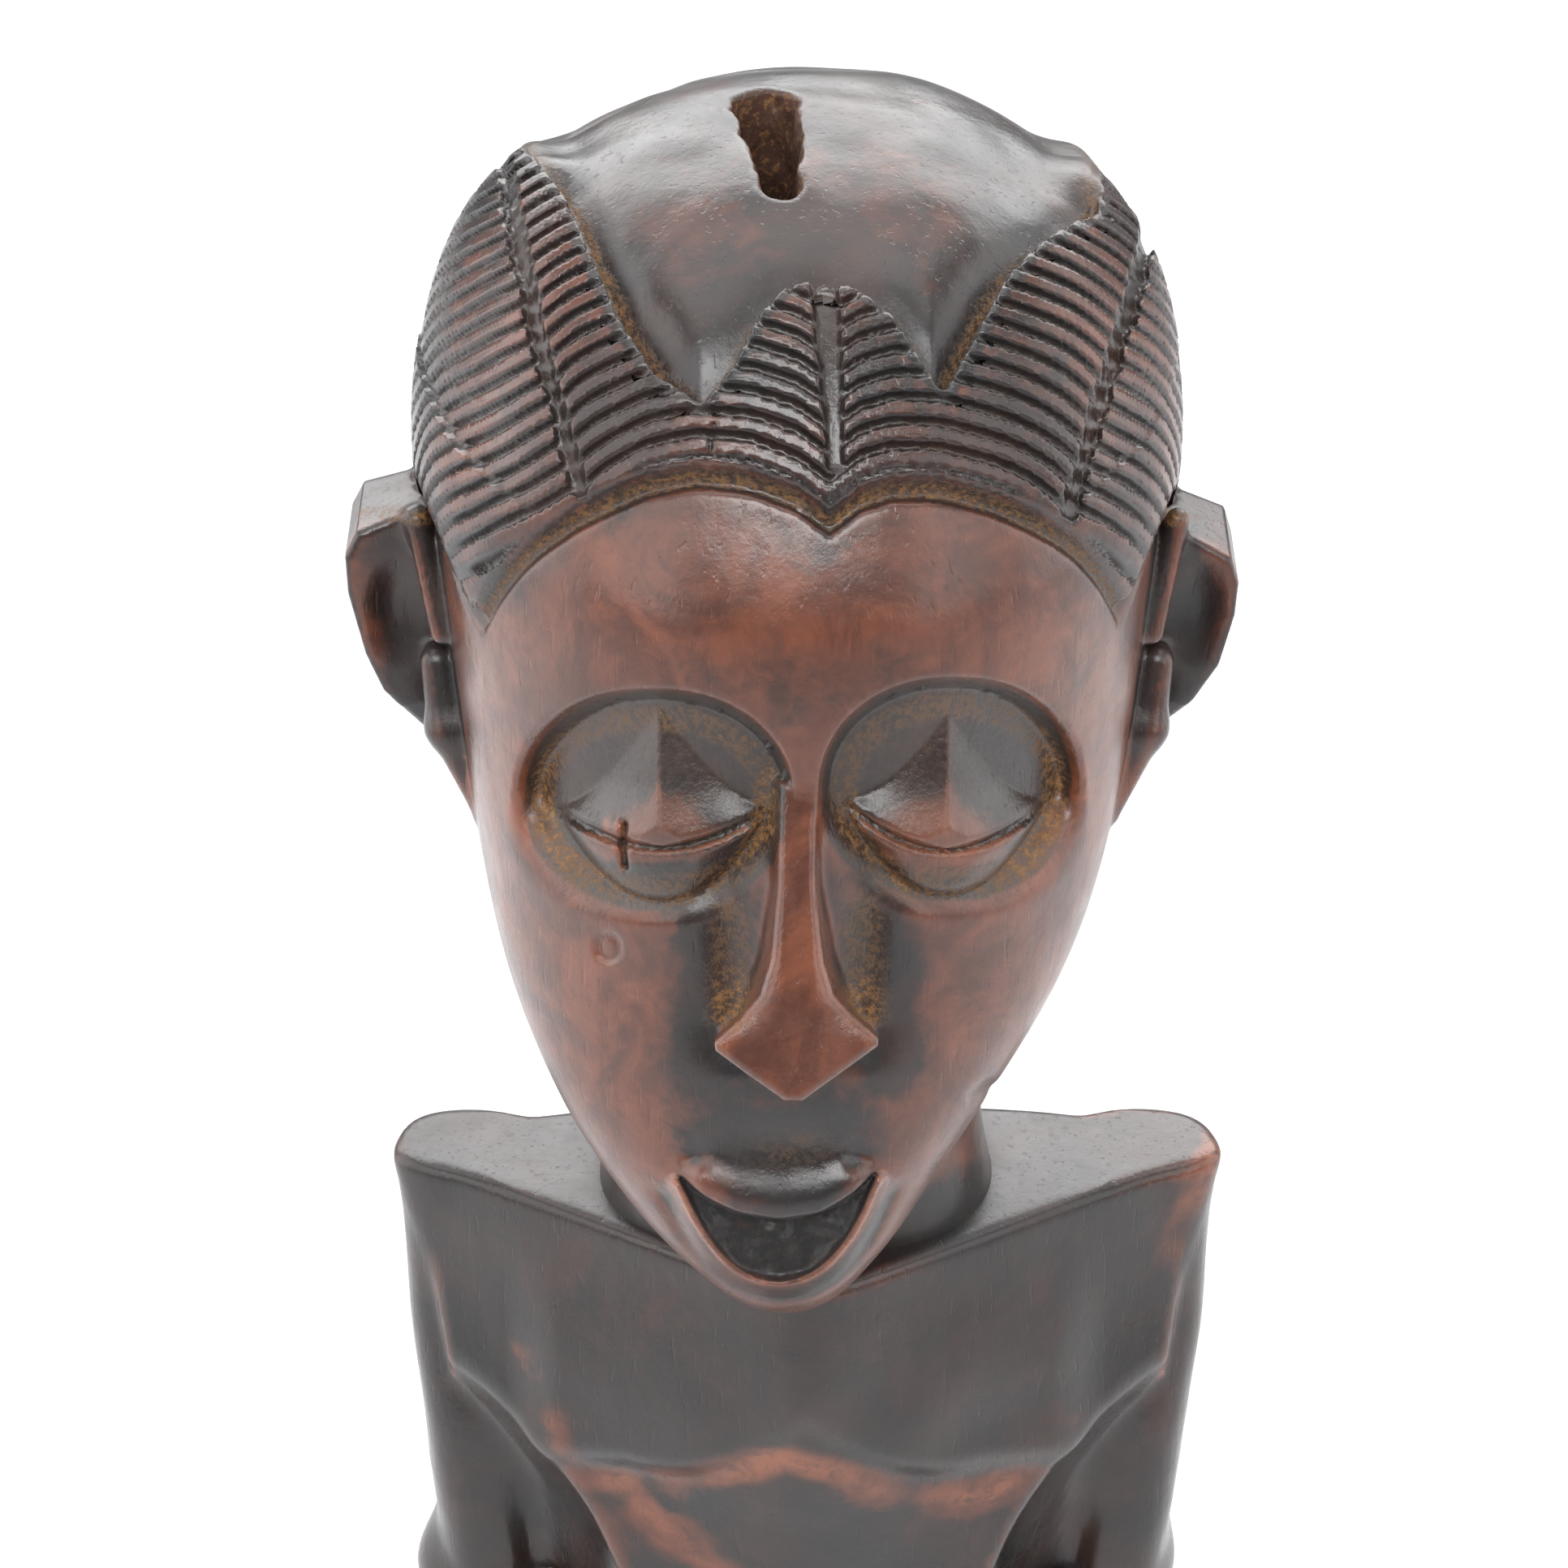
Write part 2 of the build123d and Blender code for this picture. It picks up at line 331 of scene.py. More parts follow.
def hair_layers(P):
    """How far the cap and the hair stand above the head blank, with the dusty valley between them."""
    hair = above_hairline(P)
    outside = outside_cap(P)
    cutting, _ = coiffure_relief(P)
    wide, y = np.abs(P[:, 0]), P[:, 1]
    hair_height = (1.5 - 0.9 * step(19, 30, wide) * step(10, -4, y)) * step(-0.25, 0.55, hair)
    hair_height = hair_height - 1.7 * step(8, 20, y) * step(12, 0, outside)
    swell = 1.35 * step(16, 27, wide) * step(26, 10, y)
    swell = swell * step(15, 4, outside) * step(-9, 0, outside) * step(0, 3, hair)
    in_cap = step(0.6, -0.2, outside)
    cap_height = -0.5 + 0.50 * noise(P, 12.0, 51) + 0.22 * noise(P, 4.5, 52)
    beside_lobe = step(-5, 0, outside) * step(15, 22, wide) * step(0, 8, y) * step(30, 20, y)
    cap_height = cap_height + 1.5 * beside_lobe
    valley = 0.8 * hill((outside + 0.5) / np.where(outside + 0.5 > 0, 0.9, 2.2), 1.0)
    height = (hair_height - cutting * step(0, 0.5, hair)) * (1 - in_cap) + cap_height * in_cap + swell
    under_edge = 0.9 * hill(hair + 0.7, 0.65) * step(12, 4, y)
    return height - valley * (1 - beside_lobe) * (hair > 1) - under_edge


# ---- the face
# The carving on the face is laid out on a plane that leans back: up_face runs up it, and
# out_of_face runs square to it, out of the face.
LEAN_COS, LEAN_SIN = 0.8387, 0.5446
BROW_LEVEL = LEAN_COS * EYE_LEVEL - LEAN_SIN * 30


def up_face(P):
    """Height up the face from the middle of the brow."""
    return LEAN_COS * P[:, 2] + LEAN_SIN * P[:, 1] - BROW_LEVEL


def out_of_face(P):
    """Distance out of the face, square to its slope."""
    return LEAN_SIN * P[:, 2] - LEAN_COS * P[:, 1]


# Each eye: socket centre x, centre height, half width and half height, then the lid's centre, half
# width, apex, slit level, slit rise at the corners, and lower edge.
EYES = ((-12.9, -1.7, 12.5, 9.9, -12.2, 9.3, 6.3, -5.5, 3.1, -10.2),
        (13.8, -0.9, 11.9, 10.1, 13.3, 9.1, 5.7, -5.7, 4.0, -9.7))


def socket_distance(u, v, eye):
    """How far outside an eye socket's rim a point of the face is."""
    x, y, half, tall = eye[:4]
    return section(u - x, v - y, np.full_like(u, half), np.full_like(u, tall), 2.15)


def eye_relief(u, v):
    """Inward depth of the two sockets and their closed lids."""
    depth = np.zeros_like(u)
    for eye in EYES:
        lid_x, half, apex, slit_low, slit_rise, low = eye[4:]
        rim = socket_distance(u, v, eye)
        below = step(0.5, -7.5, v)
        outer = step(3, 11, (u - lid_x) * np.sign(lid_x))
        wall = 0.9 + 3.2 * below + 1.3 * outer
        floor = 3.6 - 0.9 * below - 0.5 * outer
        hollow = floor * step(0.35 * wall, -wall, rim)
        s = np.clip(np.abs(u - lid_x) / half, 0, 1)
        slit = slit_low + slit_rise * s**2
        roof = slit + (apex - slit_low) * (1 - s) ** 1.15 + 0.5
        above = np.clip((v - slit) / (roof - slit), 0, 1)
        lid = 3.6 * (1 - s) ** 0.6 * (1 - above) ** 0.95 * (v > slit)
        keel = slit - (slit_low - low) * np.clip(1 - s**2.3, 0, 1) - 0.25
        under = np.clip((slit - v) / (slit - keel), 0, 1)
        pouch = 3.0 * np.clip(1 - s**2.4, 0, 1) ** 0.55 * np.sqrt(1 - under**2) * (v <= slit)
        crease = 0.95 * hill(v - slit + 0.12, 0.42) * step(1.08, 0.92, np.abs(u - lid_x) / half)
        depth = np.maximum(depth, hollow - (lid + pouch) * step(1.0, -2.2, rim) + crease * (rim < 0))
    return depth


MOUTH_TOP = [(-10.8, -36.1), (-8.4, -38.0), (-5.4, -39.4), (-1.6, -40.0), (2.1, -39.4), (5.1, -37.6),
             (7.2, -35.7)]
MOUTH_BOTTOM = [(6.8, -37.0), (5.5, -40.2), (3.6, -43.2), (1.3, -45.3), (-1.6, -46.2), (-4.7, -45.4),
                (-6.9, -43.5), (-8.8, -40.6), (-10.3, -37.4)]
MOUTH = rounded_outline(MOUTH_TOP + MOUTH_BOTTOM, 3)


def mouth_distance(u, v):
    """Signed distance to the open mouth: a sagging upper lip over a deep round lower edge."""
    return outline_distance(u, v, MOUTH)


def mouth_relief(u, v):
    """Inward depth of the lips: a thin raised rim below, a rounded band above, and the philtrum."""
    mouth = mouth_distance(u, v)
    edge = np.interp(u, *np.array(MOUTH_TOP).T)
    above = v - edge
    middle = (u + 1.8) / 9.0
    rim = 0.95 * hill(mouth - 0.45, 0.62) * step(0.4, -0.8, above)
    moat = 0.45 * hill(mouth - 2.1, 0.9) * step(-0.5, -2.5, above)
    band = 1.25 * step(-0.3, 0.3, above) * step(5.0, 0.6, above) * step(1.12, 0.75, np.abs(middle))
    notch = 0.8 * (hill(u + 9.6, 1.3) + hill(u - 5.9, 1.3)) * hill(v + 34.3, 1.3)
    philtrum = 0.8 * hill(u + 0.8, 7.5) * hill(v + 33.0, 2.6)
    return moat + notch + philtrum - rim - band


def face_relief(P):
    """Inward depth of the carving on the face."""
    u, v = P[:, 0], up_face(P)
    depth = np.zeros(len(P))
    eyes = (v > -20) & (v < 14)
    depth[eyes] = eye_relief(u[eyes], v[eyes])
    mouth = v < -26
    depth[mouth] = mouth_relief(u[mouth], v[mouth])
    beside_nose = 1.5 * hill(np.abs(u) - 5.8, 3.2) * step(-27, -21, v) * step(-2, -12, v)
    return depth + beside_nose


def mouth_hollow(P):
    """The solid that the open mouth removes."""
    u, v = P[:, 0], up_face(P)
    mouth = mouth_distance(u, v)
    lip = 175.2 + 0.20 * (v + 40)
    floor = lip - 5.5 + 0.035 * (u + 1.8) ** 2 - out_of_face(P)
    return both(mouth, floor + 0.3 * noise(P, 1.3, 21), 0.6)


NOSE_LEFT = [(-1.5, 0.2), (-1.7, -9), (-2.3, -15.5), (-3.3, -18.6), (-5.2, -20.8), (-7.4, -22.8),
             (-7.3, -23.6), (-4.5, -25.7), (-1.1, -28.1)]
NOSE_RIGHT = [(0.4, -28.1), (4.1, -25.4), (7.1, -23.2), (7.2, -22.5), (5.0, -20.5), (3.1, -18.5),
              (2.2, -15.5), (1.5, -9), (1.7, 0.2)]
NOSE_ROOT_OUT, NOSE_TIP_OUT = 198.1, 192.4
NOSE_UNDERSIDE = 281.6


def nose(P):
    """A thin flat-topped ridge that ends in a kite-shaped facet, cut level underneath."""
    u, v, out = P[:, 0], up_face(P), out_of_face(P)
    top = NOSE_TIP_OUT + (NOSE_ROOT_OUT - NOSE_TIP_OUT) * np.clip((v + 28.4) / 28.0, 0, 1.1)
    top = top - (0.08 + 0.25 * step(-23, -17, v)) * np.clip(np.abs(u) - 1.2, 0, None) ** 1.15
    under = np.clip(top - out, 0, 9)
    side = outline_distance(u, v, NOSE_LEFT + NOSE_RIGHT) - 0.16 * under * step(-21, -17, v)
    ridge = both(side, out - top, 0.9)
    ridge = both(ridge, NOSE_UNDERSIDE + 0.12 * (P[:, 1] + 45) - P[:, 2], 0.9)
    return both(ridge, P[:, 1] + 29, 1.0)


# ---- ears
EAR_OUTLINES = {
    "left_ear": [(-29, 320.0), (-34.7, 319.2), (-40.6, 317.0), (-41.8, 314.5), (-41.7, 310.5), (-40.4, 303.8),
                 (-38.9, 299.6), (-37.3, 297.5), (-35.8, 295.0), (-33.5, 291.5), (-31, 289.5), (-29, 289)],
    "right_ear": [(29, 318.5), (34.4, 317.2), (40.2, 314.2), (41.0, 311.5), (40.8, 308), (39.6, 302.5),
                  (37.5, 298.5), (34.8, 294.8), (32.0, 291.8), (29, 290.5)],
}


def ear(P, name):
    """A plate that faces forward, hollowed like a shell behind a raised rim, over a long lobe."""
    x, y, z = P.T
    side = -1 if name == "left_ear" else 1
    reach = side * x
    outline = outline_distance(x, z, EAR_OUTLINES[name])
    back = y - (9.0 + 0.10 * (reach - 30) - 0.004 * (z - 303) ** 2)
    front = (0.4 - 0.20 * (reach - 30) + 0.35 * np.clip(298 - z, 0, None)) - y
    plate = both(both(outline, back, 1.6), front, 0.9)
    hollow = ball(P, (side * 36.4, -6.4, 308.5), (5.0, 6.6, 9.3))
    plate = cut(plate, hollow, 0.8)
    fold = cone(P, (side * 35.0, -1.0, 318.2), (side * 32.8, -4.0, 308.0), 1.1, 1.2)
    lobe = cone(P, (side * 33.6, -2.6, 304.0), (side * 32.6, -4.0, 297.5), 1.6, 2.0)
    lobe = join(lobe, cone(P, (side * 32.6, -4.0, 297.5), (side * 29.6, -6.0, 289.0), 2.0, 0.8), 1.5)
    return join(join(plate, fold, 1.4), lobe, 1.8)


# ---- the crown socket
SOCKET_BACK = np.array([-2.9, 9.4])
SOCKET_FRONT = np.array([-1.4, -4.6])
SOCKET_DEPTH = 13.5


def crown_socket(P):
    """A tear-shaped hole, wide at the back, ragged inside."""
    below = np.clip(CROWN - P[:, 2], 0, SOCKET_DEPTH)
    u, v = P[:, 0], P[:, 1]
    along = SOCKET_FRONT - SOCKET_BACK
    t = np.clip(((u - SOCKET_BACK[0]) * along[0] + (v - SOCKET_BACK[1]) * along[1]) / (along @ along), 0, 1)
    away = np.hypot(u - SOCKET_BACK[0] - t * along[0], v - SOCKET_BACK[1] - t * along[1])
    radius = 3.15 - 1.45 * t - 0.05 * below
    wall = away - radius + 0.40 * noise(P, 2.3, 31) + 0.18 * noise(P, 0.9, 32)
    return both(wall, CROWN - SOCKET_DEPTH - P[:, 2], 1.0)


# ---- neck, trunk and limbs
def neck(P):
    """A thick column that stands in the shoulders."""
    shape = stack(P, 0, [(234, 21.4), (240, 19.6), (248, 18.6), (262, 19.5), (290, 22)],
                  [(234, -10.5), (240, -9.6), (250, -9.5), (290, -9)],
                  [(234, 21), (240, 19.4), (250, 19), (290, 22)], 2.3)
    return both(both(shape, SHOULDER - 8 - P[:, 2], 1.0), P[:, 2] - 292, 1.0)


TRUNK_HALF = [(86, 24), (94, 27), (102, 28), (114, 23.5), (128, 21.5), (140, 20.5), (162, 17.6), (180, 16.6),
              (190, 18.0), (200, 20.8), (212, 27.4), (223, 33.8), (231, 39.2), (236, 41.4), (240, 42.2)]
TRUNK_FRONT = [(86, -8), (94, -10), (102, -11.5), (114, -12.5), (128, -15.2), (138, -16.2), (150, -13.5),
               (164, -11.2), (190, -12.0), (204, -13.4), (214, -14.8), (228, -15.6), (240, -15.0)]
TRUNK_BACK = [(86, 24), (94, 26.5), (102, 28), (112, 24), (128, 18), (150, 16), (180, 16), (206, 17.5),
              (228, 18.5), (240, 17.6)]
# How far the trunk reaches out behind the arms.
TRUNK_WEB = [(176, 27), (190, 33), (205, 35.5), (222, 38.5), (240, 41.8)]
SHOULDER_SHIFT = 1.1       # the shoulders sit a little to the right of the legs


def body_x(P):
    """Distance right of the body's own middle."""
    return P[:, 0] - SHOULDER_SHIFT * step(150, 200, P[:, 2])


def shoulder_top(P):
    """Positive above the nearly level top of the shoulders."""
    x = np.abs(body_x(P))
    return P[:, 2] - SHOULDER + 0.006 * np.clip(x - 18, 0, None) ** 1.5 + 0.04 * np.clip(P[:, 1], 0, None)


def trunk(P):
    """Flat planes that meet in soft ridges, wide at the shoulders and narrow at the waist."""
    x, y, z = body_x(P), P[:, 1], P[:, 2]
    wide = np.sqrt(x * x + 16) - 4
    wedge = 0.62 * step(168, 232, z)
    front = (smooth_curve(z, TRUNK_FRONT) + wedge * wide + 0.012 * x * x * step(200, 160, z) - y)
    front = front / np.sqrt(1 + wedge**2)
    flare = step(176, 187, z) * 0.055 * np.clip(y + 9, 0, 40) ** 2
    half = smooth_curve(z, TRUNK_HALF)
    half = np.minimum(half + flare, np.maximum(half, smooth_curve(z, TRUNK_WEB)))
    side = (np.abs(x) - half) * (1 - 0.40 * step(184, 200, z))
    side = side + 0.05 * np.abs(y - 3) * step(200, 150, z)
    back = y - smooth_curve(z, TRUNK_BACK) + 0.003 * x * x
    shape = both(both(front, side, 0.9 + 6 * step(186, 150, z)), back, 3.5)
    shape = both(shape, HIP - 2.5 - z, 3.0)
    beside = np.abs(x) - 18.5
    crease = 211.0 + np.where(beside < 0, 0.034 * beside**2, -0.25 * beside)
    breast = 1.4 * step(-2.4, 2.6, z - crease) * step(236, 219, z) * step(12, 4, y) * step(31, 25, np.abs(x))
    breast = breast * (0.35 + 0.65 * step(3, 13, np.abs(x)))
    hollow = 1.0 * hill(x, 6.0) * step(150, 175, z) * step(228, 205, z) * (y < 4)
    spine = 1.3 * hill(x, 3.6) * step(118, 130, z) * step(236, 222, z) * (y > 6)
    cleft = 2.6 * hill(x, 2.4) * step(112, 104, z) * (y > 10)
    return shape - breast + hollow + spine + cleft


def navel(P):
    """A small peg of a navel."""
    return cone(P, (0, -14, 138), (0, -17.6, 137), 2.6, 2.0)


def upper_arm(P, side):
    """A flattened arm, set back from the chest."""
    z = P[:, 2]
    shape = section(body_x(P) * side - smooth_curve(z, [(180, 33.2), (200, 34.6), (222, 35.4), (240, 35.0)]),
                    P[:, 1] - smooth_curve(z, [(180, 8.2), (205, 9.4), (222, 11.4), (240, 11.6)]),
                    smooth_curve(z, [(180, 5.0), (195, 5.2), (215, 6.0), (232, 6.6), (240, 6.9)]),
                    smooth_curve(z, [(180, 7.2), (205, 6.6), (222, 5.6), (240, 5.4)]), 2.5)
    shape = both(shape, ELBOW - 9 - z, 3.0)
    elbow = ball(P, (side * 34.6 + 0.7, 10.5, ELBOW - 2.0), (5.2, 6.4, 6.6))
    return join(shape, elbow, 2.5)


def forearm(P, side):
    """A forearm that comes forward to a hand laid on the belly."""
    elbow = (side * 34.8, 9.0, ELBOW - 4)
    wrist = (side * 24.5, -10.5, 157.5)
    arm = cone(P, elbow, wrist, 6.0, 4.3)
    hand = np.full(len(P), 1e3)
    for finger in range(4):
        drop = 2.9 * finger - 4.2
        knuckle = (side * 20.5, -14.2 + 0.3 * abs(drop), 151.5 + drop)
        tip = (side * 9.5, -18.3 + 0.16 * abs(drop), 144.0 + 0.9 * drop)
        hand = join(hand, cone(P, knuckle, tip, 1.75, 1.35), 0.5)
    thumb = cone(P, (side * 21, -13.5, 157.5), (side * 12.5, -16.5, 156.5), 1.9, 1.4)
    palm = ball(P, (side * 21.2, -12.6, 153.0), (5.4, 4.0, 6.2))
    hand = join(join(hand, palm, 1.4), thumb, 0.8)
    return join(arm, hand, 2.4)


def leg(P, side):
    """A short bent leg with a heavy calf."""
    x = P[:, 0] * side
    z = P[:, 2]
    middle = [(20, 15), (60, 15.5), (98, 14.2)]
    half = [(20, 7.6), (32, 8.2), (44, 9.6), (56, 9.4), (64, 10.2), (80, 12.2), (98, 13.4)]
    front = [(20, -5.5), (34, -5.0), (48, -8.5), (57, -13.5), (64, -13.0), (78, -11.5), (98, -9.5)]
    back = [(20, 11.5), (32, 15.5), (42, 17.5), (52, 12.5), (60, 11.0), (74, 17.0), (98, 25)]
    f, b = smooth_curve(z, front), smooth_curve(z, back)
    x = x - smooth_curve(z, middle)
    shape = section(x, P[:, 1] - (f + b) / 2, smooth_curve(z, half), (b - f) / 2, 2.3)
    shape = both(shape, BASE_TOP + 5 - z, 2.0)
    return both(shape, z - HIP - 6, 4.0)


def foot(P, side):
    """A flat foot with cut toes."""
    x = P[:, 0] * side - STANCE
    y, z = P[:, 1], P[:, 2]
    half = smooth_curve(y, [(-24, 7.6), (-14, 8.2), (0, 7.2), (12, 6.4)])
    top = z - FOOT_TOP - smooth_curve(y, [(-24, -4.2), (-14, -2.4), (-2, 1.5), (12, 2)])
    shape = both(both(np.abs(x) - half, top, 2.6), np.maximum(-22.5 - y, y - 14), 3.0)
    shape = both(shape, BASE_TOP - 2 - z, 0.5)
    toes = np.abs((x + 8.5) % 3.4 - 1.7)
    return shape + 0.9 * hill(toes, 0.42) * step(-13, -17, y)


def base(P):
    """A round base left with the knife's facets."""
    x, y, z = P[:, 0], P[:, 1], P[:, 2]
    facet = 0.5 * np.abs(np.sin(7.5 * np.arctan2(y, x)))
    flare = 0.05 * np.clip(BASE_TOP - z, 0, None)
    shape = section(x, y, BASE_HALF[0] - 0.6, BASE_HALF[1] - 0.6, 2.15) + facet - flare + 0.4
    shape = both(shape, z - BASE_TOP, 2.2)
    return both(shape, -z, 0.8)


# ---- the whole figure
SIDES = {"left": -1, "right": 1}


def marks(P):
    """Old damage: checks in the wood, the crack across one lid, a knot, and a chipped jaw."""
    x, v, r = P[:, 0], up_face(P), rise(P)
    lid_check = 0.9 * hill(line_distance(x, v, [(-15.4, -3.6), (-15.6, -5.4), (-15.4, -7.4)]), 0.28)
    hair_check = 0.5 * hill(line_distance(x, r, [(-7.4, 192.3), (-7.1, 189), (-7.6, 185.6)]), 0.2)
    knot = line_distance(x, v, [(-17.1, -15.0), (-17.1, -14.6)])
    knot_cut = 0.35 * hill(knot - 0.9, 0.35) + 0.25 * hill(knot, 0.9)
    jaw_chip = 0.35 * hill(line_distance(x, v, [(16.6, -29.0), (17.8, -28.2)]), 0.8)
    return lid_check + hair_check + knot_cut + jaw_chip


HEAD_PARTS = ("head", "neck", "left_ear", "right_ear")


def figure_parts(P):
    """Every region's own distance, by name, before they are joined."""
    parts = {"head": head_blank(P), "neck": neck(P), "trunk": trunk(P), "base": base(P)}
    for name, side in SIDES.items():
        parts[f"{name}_ear"] = ear(P, f"{name}_ear")
        parts[f"{name}_upper_arm"] = upper_arm(P, side)
        parts[f"{name}_forearm"] = forearm(P, side)
        parts[f"{name}_leg"] = leg(P, side)
        parts[f"{name}_foot"] = foot(P, side)
    return parts


def where(mask, shape, P):
    """A shape's distance where the mask holds, and a large one elsewhere."""
    result = np.full(len(P), 50.0)
    if mask.any():
        result[mask] = shape(P[mask])
    return result


def figure(P):
    """The signed distance to the whole doll's surface."""
    z = P[:, 2]
    return join(where(z > 226, head_and_neck, P), where(z < 262, body, P), 1.0)


def head_and_neck(P):
    """The whole upper mesh's shape."""
    return join(carved_head(P), where(P[:, 2] < 296, neck, P), 2.2)


def carved_head(P):
    """The head blank with its hair, face, ears, mouth and crown socket carved."""
    head = head_blank(P)
    near = np.abs(head) < 7
    in_hair = near & (above_hairline(P) > -3.5)
    head[in_hair] -= hair_layers(P[in_hair])
    in_face = near & (P[:, 1] < -4) & (P[:, 2] < CROWN - 15)
    Q = P[in_face]
    head[in_face] += face_relief(Q) * step(-4, -14, Q[:, 1]) + marks(Q) * (Q[:, 1] < -12)
    x, y, z = P.T
    shape = cut(head, where((y < -20) & (z < 282), mouth_hollow, P), 0.35)
    shape = join(shape, where((y < -23) & (np.abs(x) < 16) & (z > 272) & (z < 320), nose, P), 0.8)
    for name, side in SIDES.items():
        beside = (x * side > 22) & (z > 274) & (z < 326) & (np.abs(y) < 24)
        shape = join(shape, where(beside, lambda Q: ear(Q, name + "_ear"), P), 0.9)
    return cut(shape, where(z > 332, crown_socket, P), 0.5)


def body(P):
    """Trunk, arms, legs and base together."""
    x, y, z = P.T
    shape = trunk(P)
    for side in SIDES.values():
        arm = where((z > 168) & (x * side > 16), lambda Q: upper_arm(Q, side), P)
        shape = join(shape, arm, 1.0 + 3.0 * step(210, 198, z) + 1.2 * step(226, 238, z))
    shape = both(shape, shoulder_top(P), 1.4)
    shape = shape + 0.22 * noise(P, 9.0, 41)
    shape = join(shape, where((z < 150) & (z > 124) & (y < 0), navel, P), 1.0)
    for side in SIDES.values():
        shape = join(shape, where((z > 128) & (z < 202), lambda Q: forearm(Q, side), P), 1.5)
    shape = join(shape, where(z < 112, legs, P), 2.6)
    return join(shape, where(z < 28, base, P), 0.9)


def legs(P):
    """Both legs and their feet, with a clear gap between them."""
    shape = np.full(len(P), 50.0)
    for side in SIDES.values():
        one = join(leg(P, side), where(P[:, 2] < 40, lambda Q: foot(Q, side), P), 2.0)
        shape = np.minimum(shape, one)
    return shape + 0.22 * noise(P, 8.0, 42)


# ---- meshing
def block_offsets(count):
    """The cells of a cube of cells."""
    axis = np.arange(count)
    return np.stack(np.meshgrid(axis, axis, axis, indexing="ij"), -1).reshape(-1, 3)


def in_batches(shape, P, size=12000):
    """Evaluates a shape at many points, a batch at a time, on every core."""
    batches = [P[i:i + size] for i in range(0, len(P), size)]
    with ThreadPoolExecutor(4) as pool:
        return np.concatenate(list(pool.map(shape, batches)))


def surface_quads(shape, low, high, size):
    """Meshes a shape with level quads, sampling it only near its surface."""
    block = 4
    counts = np.ceil((high - low) / size / block).astype(int)
    span = block * size
    blocks = np.stack(np.meshgrid(*[np.arange(n) for n in counts], indexing="ij"), -1).reshape(-1, 3)
    rough = in_batches(shape, low + (blocks + 0.5) * span)
    grid = np.empty(counts * block, np.float32)
    far = 3 * size
    coarse = np.where(rough > 0, far, -far).astype(np.float32).reshape(counts)
    grid[:] = coarse.repeat(block, 0).repeat(block, 1).repeat(block, 2)
    near = blocks[np.abs(rough) < 0.95 * span + 0.7]
    inner = block_offsets(block)
    cells = (near[:, None] * block + inner[None]).reshape(-1, 3)
    values = in_batches(shape, low + cells * size)
    grid[tuple(cells.T)] = np.clip(values, -far, far)
    volume = openvdb.FloatGrid(far)
    volume.copyFromArray(grid)
    points, quads = volume.convertToQuads()
    points = low + points.astype(float) * size
    quads = quads.astype(np.int64)
    sample = quads[:2000]
    if (gradient(shape, points[sample].mean(1)) * face_normals(points, sample)).sum() < 0:
        quads = quads[:, ::-1]
    return settle(shape, points, 2), quads


def face_normals(points, quads):
    """Each quad's normal, as long as twice its area."""
    corners = points[quads]
    return np.cross(corners[:, 2] - corners[:, 0], corners[:, 3] - corners[:, 1])


def vertex_normals(points, quads):
    """Unit normals, averaged over the quads round each point."""
    total = np.zeros_like(points)
    flat = face_normals(points, quads)
    for corner in range(4):
        np.add.at(total, quads[:, corner], flat)
    return total / np.maximum(np.linalg.norm(total, axis=1), 1e-12)[:, None]


def settle(shape, points, rounds):
    """Moves points onto a shape's surface."""
    for _ in range(rounds):
        slope = in_batches(lambda P: gradient(shape, P), points)
        gap = in_batches(shape, points)
        push = gap / np.maximum((slope ** 2).sum(1), 0.3)
        points = points - np.clip(push, -0.3, 0.3)[:, None] * slope
    return points


MESH_LOW, MESH_HIGH = (-46.0, -49.0), (46.0, 48.5)      # how far the meshed space reaches in plan


def make_surface():
    """The head and neck in a fine mesh, and the body in a coarser one: the neck's foot stands in the body."""
    head_points, head_quads = surface_quads(head_and_neck, np.array([*MESH_LOW, SHOULDER - 12]),
                                            np.array([*MESH_HIGH, CROWN + 3]), HEAD_STEP)
    body_points, body_quads = surface_quads(body, np.array([*MESH_LOW, -2.0]),
                                            np.array([*MESH_HIGH, SHOULDER + 5]), BODY_STEP)
    points = np.concatenate([head_points, body_points])
    on_head = np.arange(len(points)) < len(head_points)
    return points, np.concatenate([head_quads, body_quads + len(head_points)]), on_head


# ---- what the surface knows about itself
def openness(points, normals):
    """How hollow and how exposed each point is, from the shape around it."""
    cavity = np.zeros(len(points))
    for reach, share in ((0.8, 0.35), (2.0, 0.35), (5.0, 0.30)):
        cavity += share * np.clip(1 - in_batches(figure, points + reach * normals) / reach, 0, 1.5)
    wear = np.zeros(len(points))
    for reach, share in ((0.7, 0.45), (2.2, 0.55)):
        wear += share * np.clip(1 + in_batches(figure, points - reach * normals) / reach, 0, 1)
    return np.clip(cavity, 0, 1), np.clip(wear, 0, 1)


def strongest(layers):
    """The strongest of several layers at each point, from 0 to 1."""
    return np.clip(np.max(layers, axis=0), 0, 1)


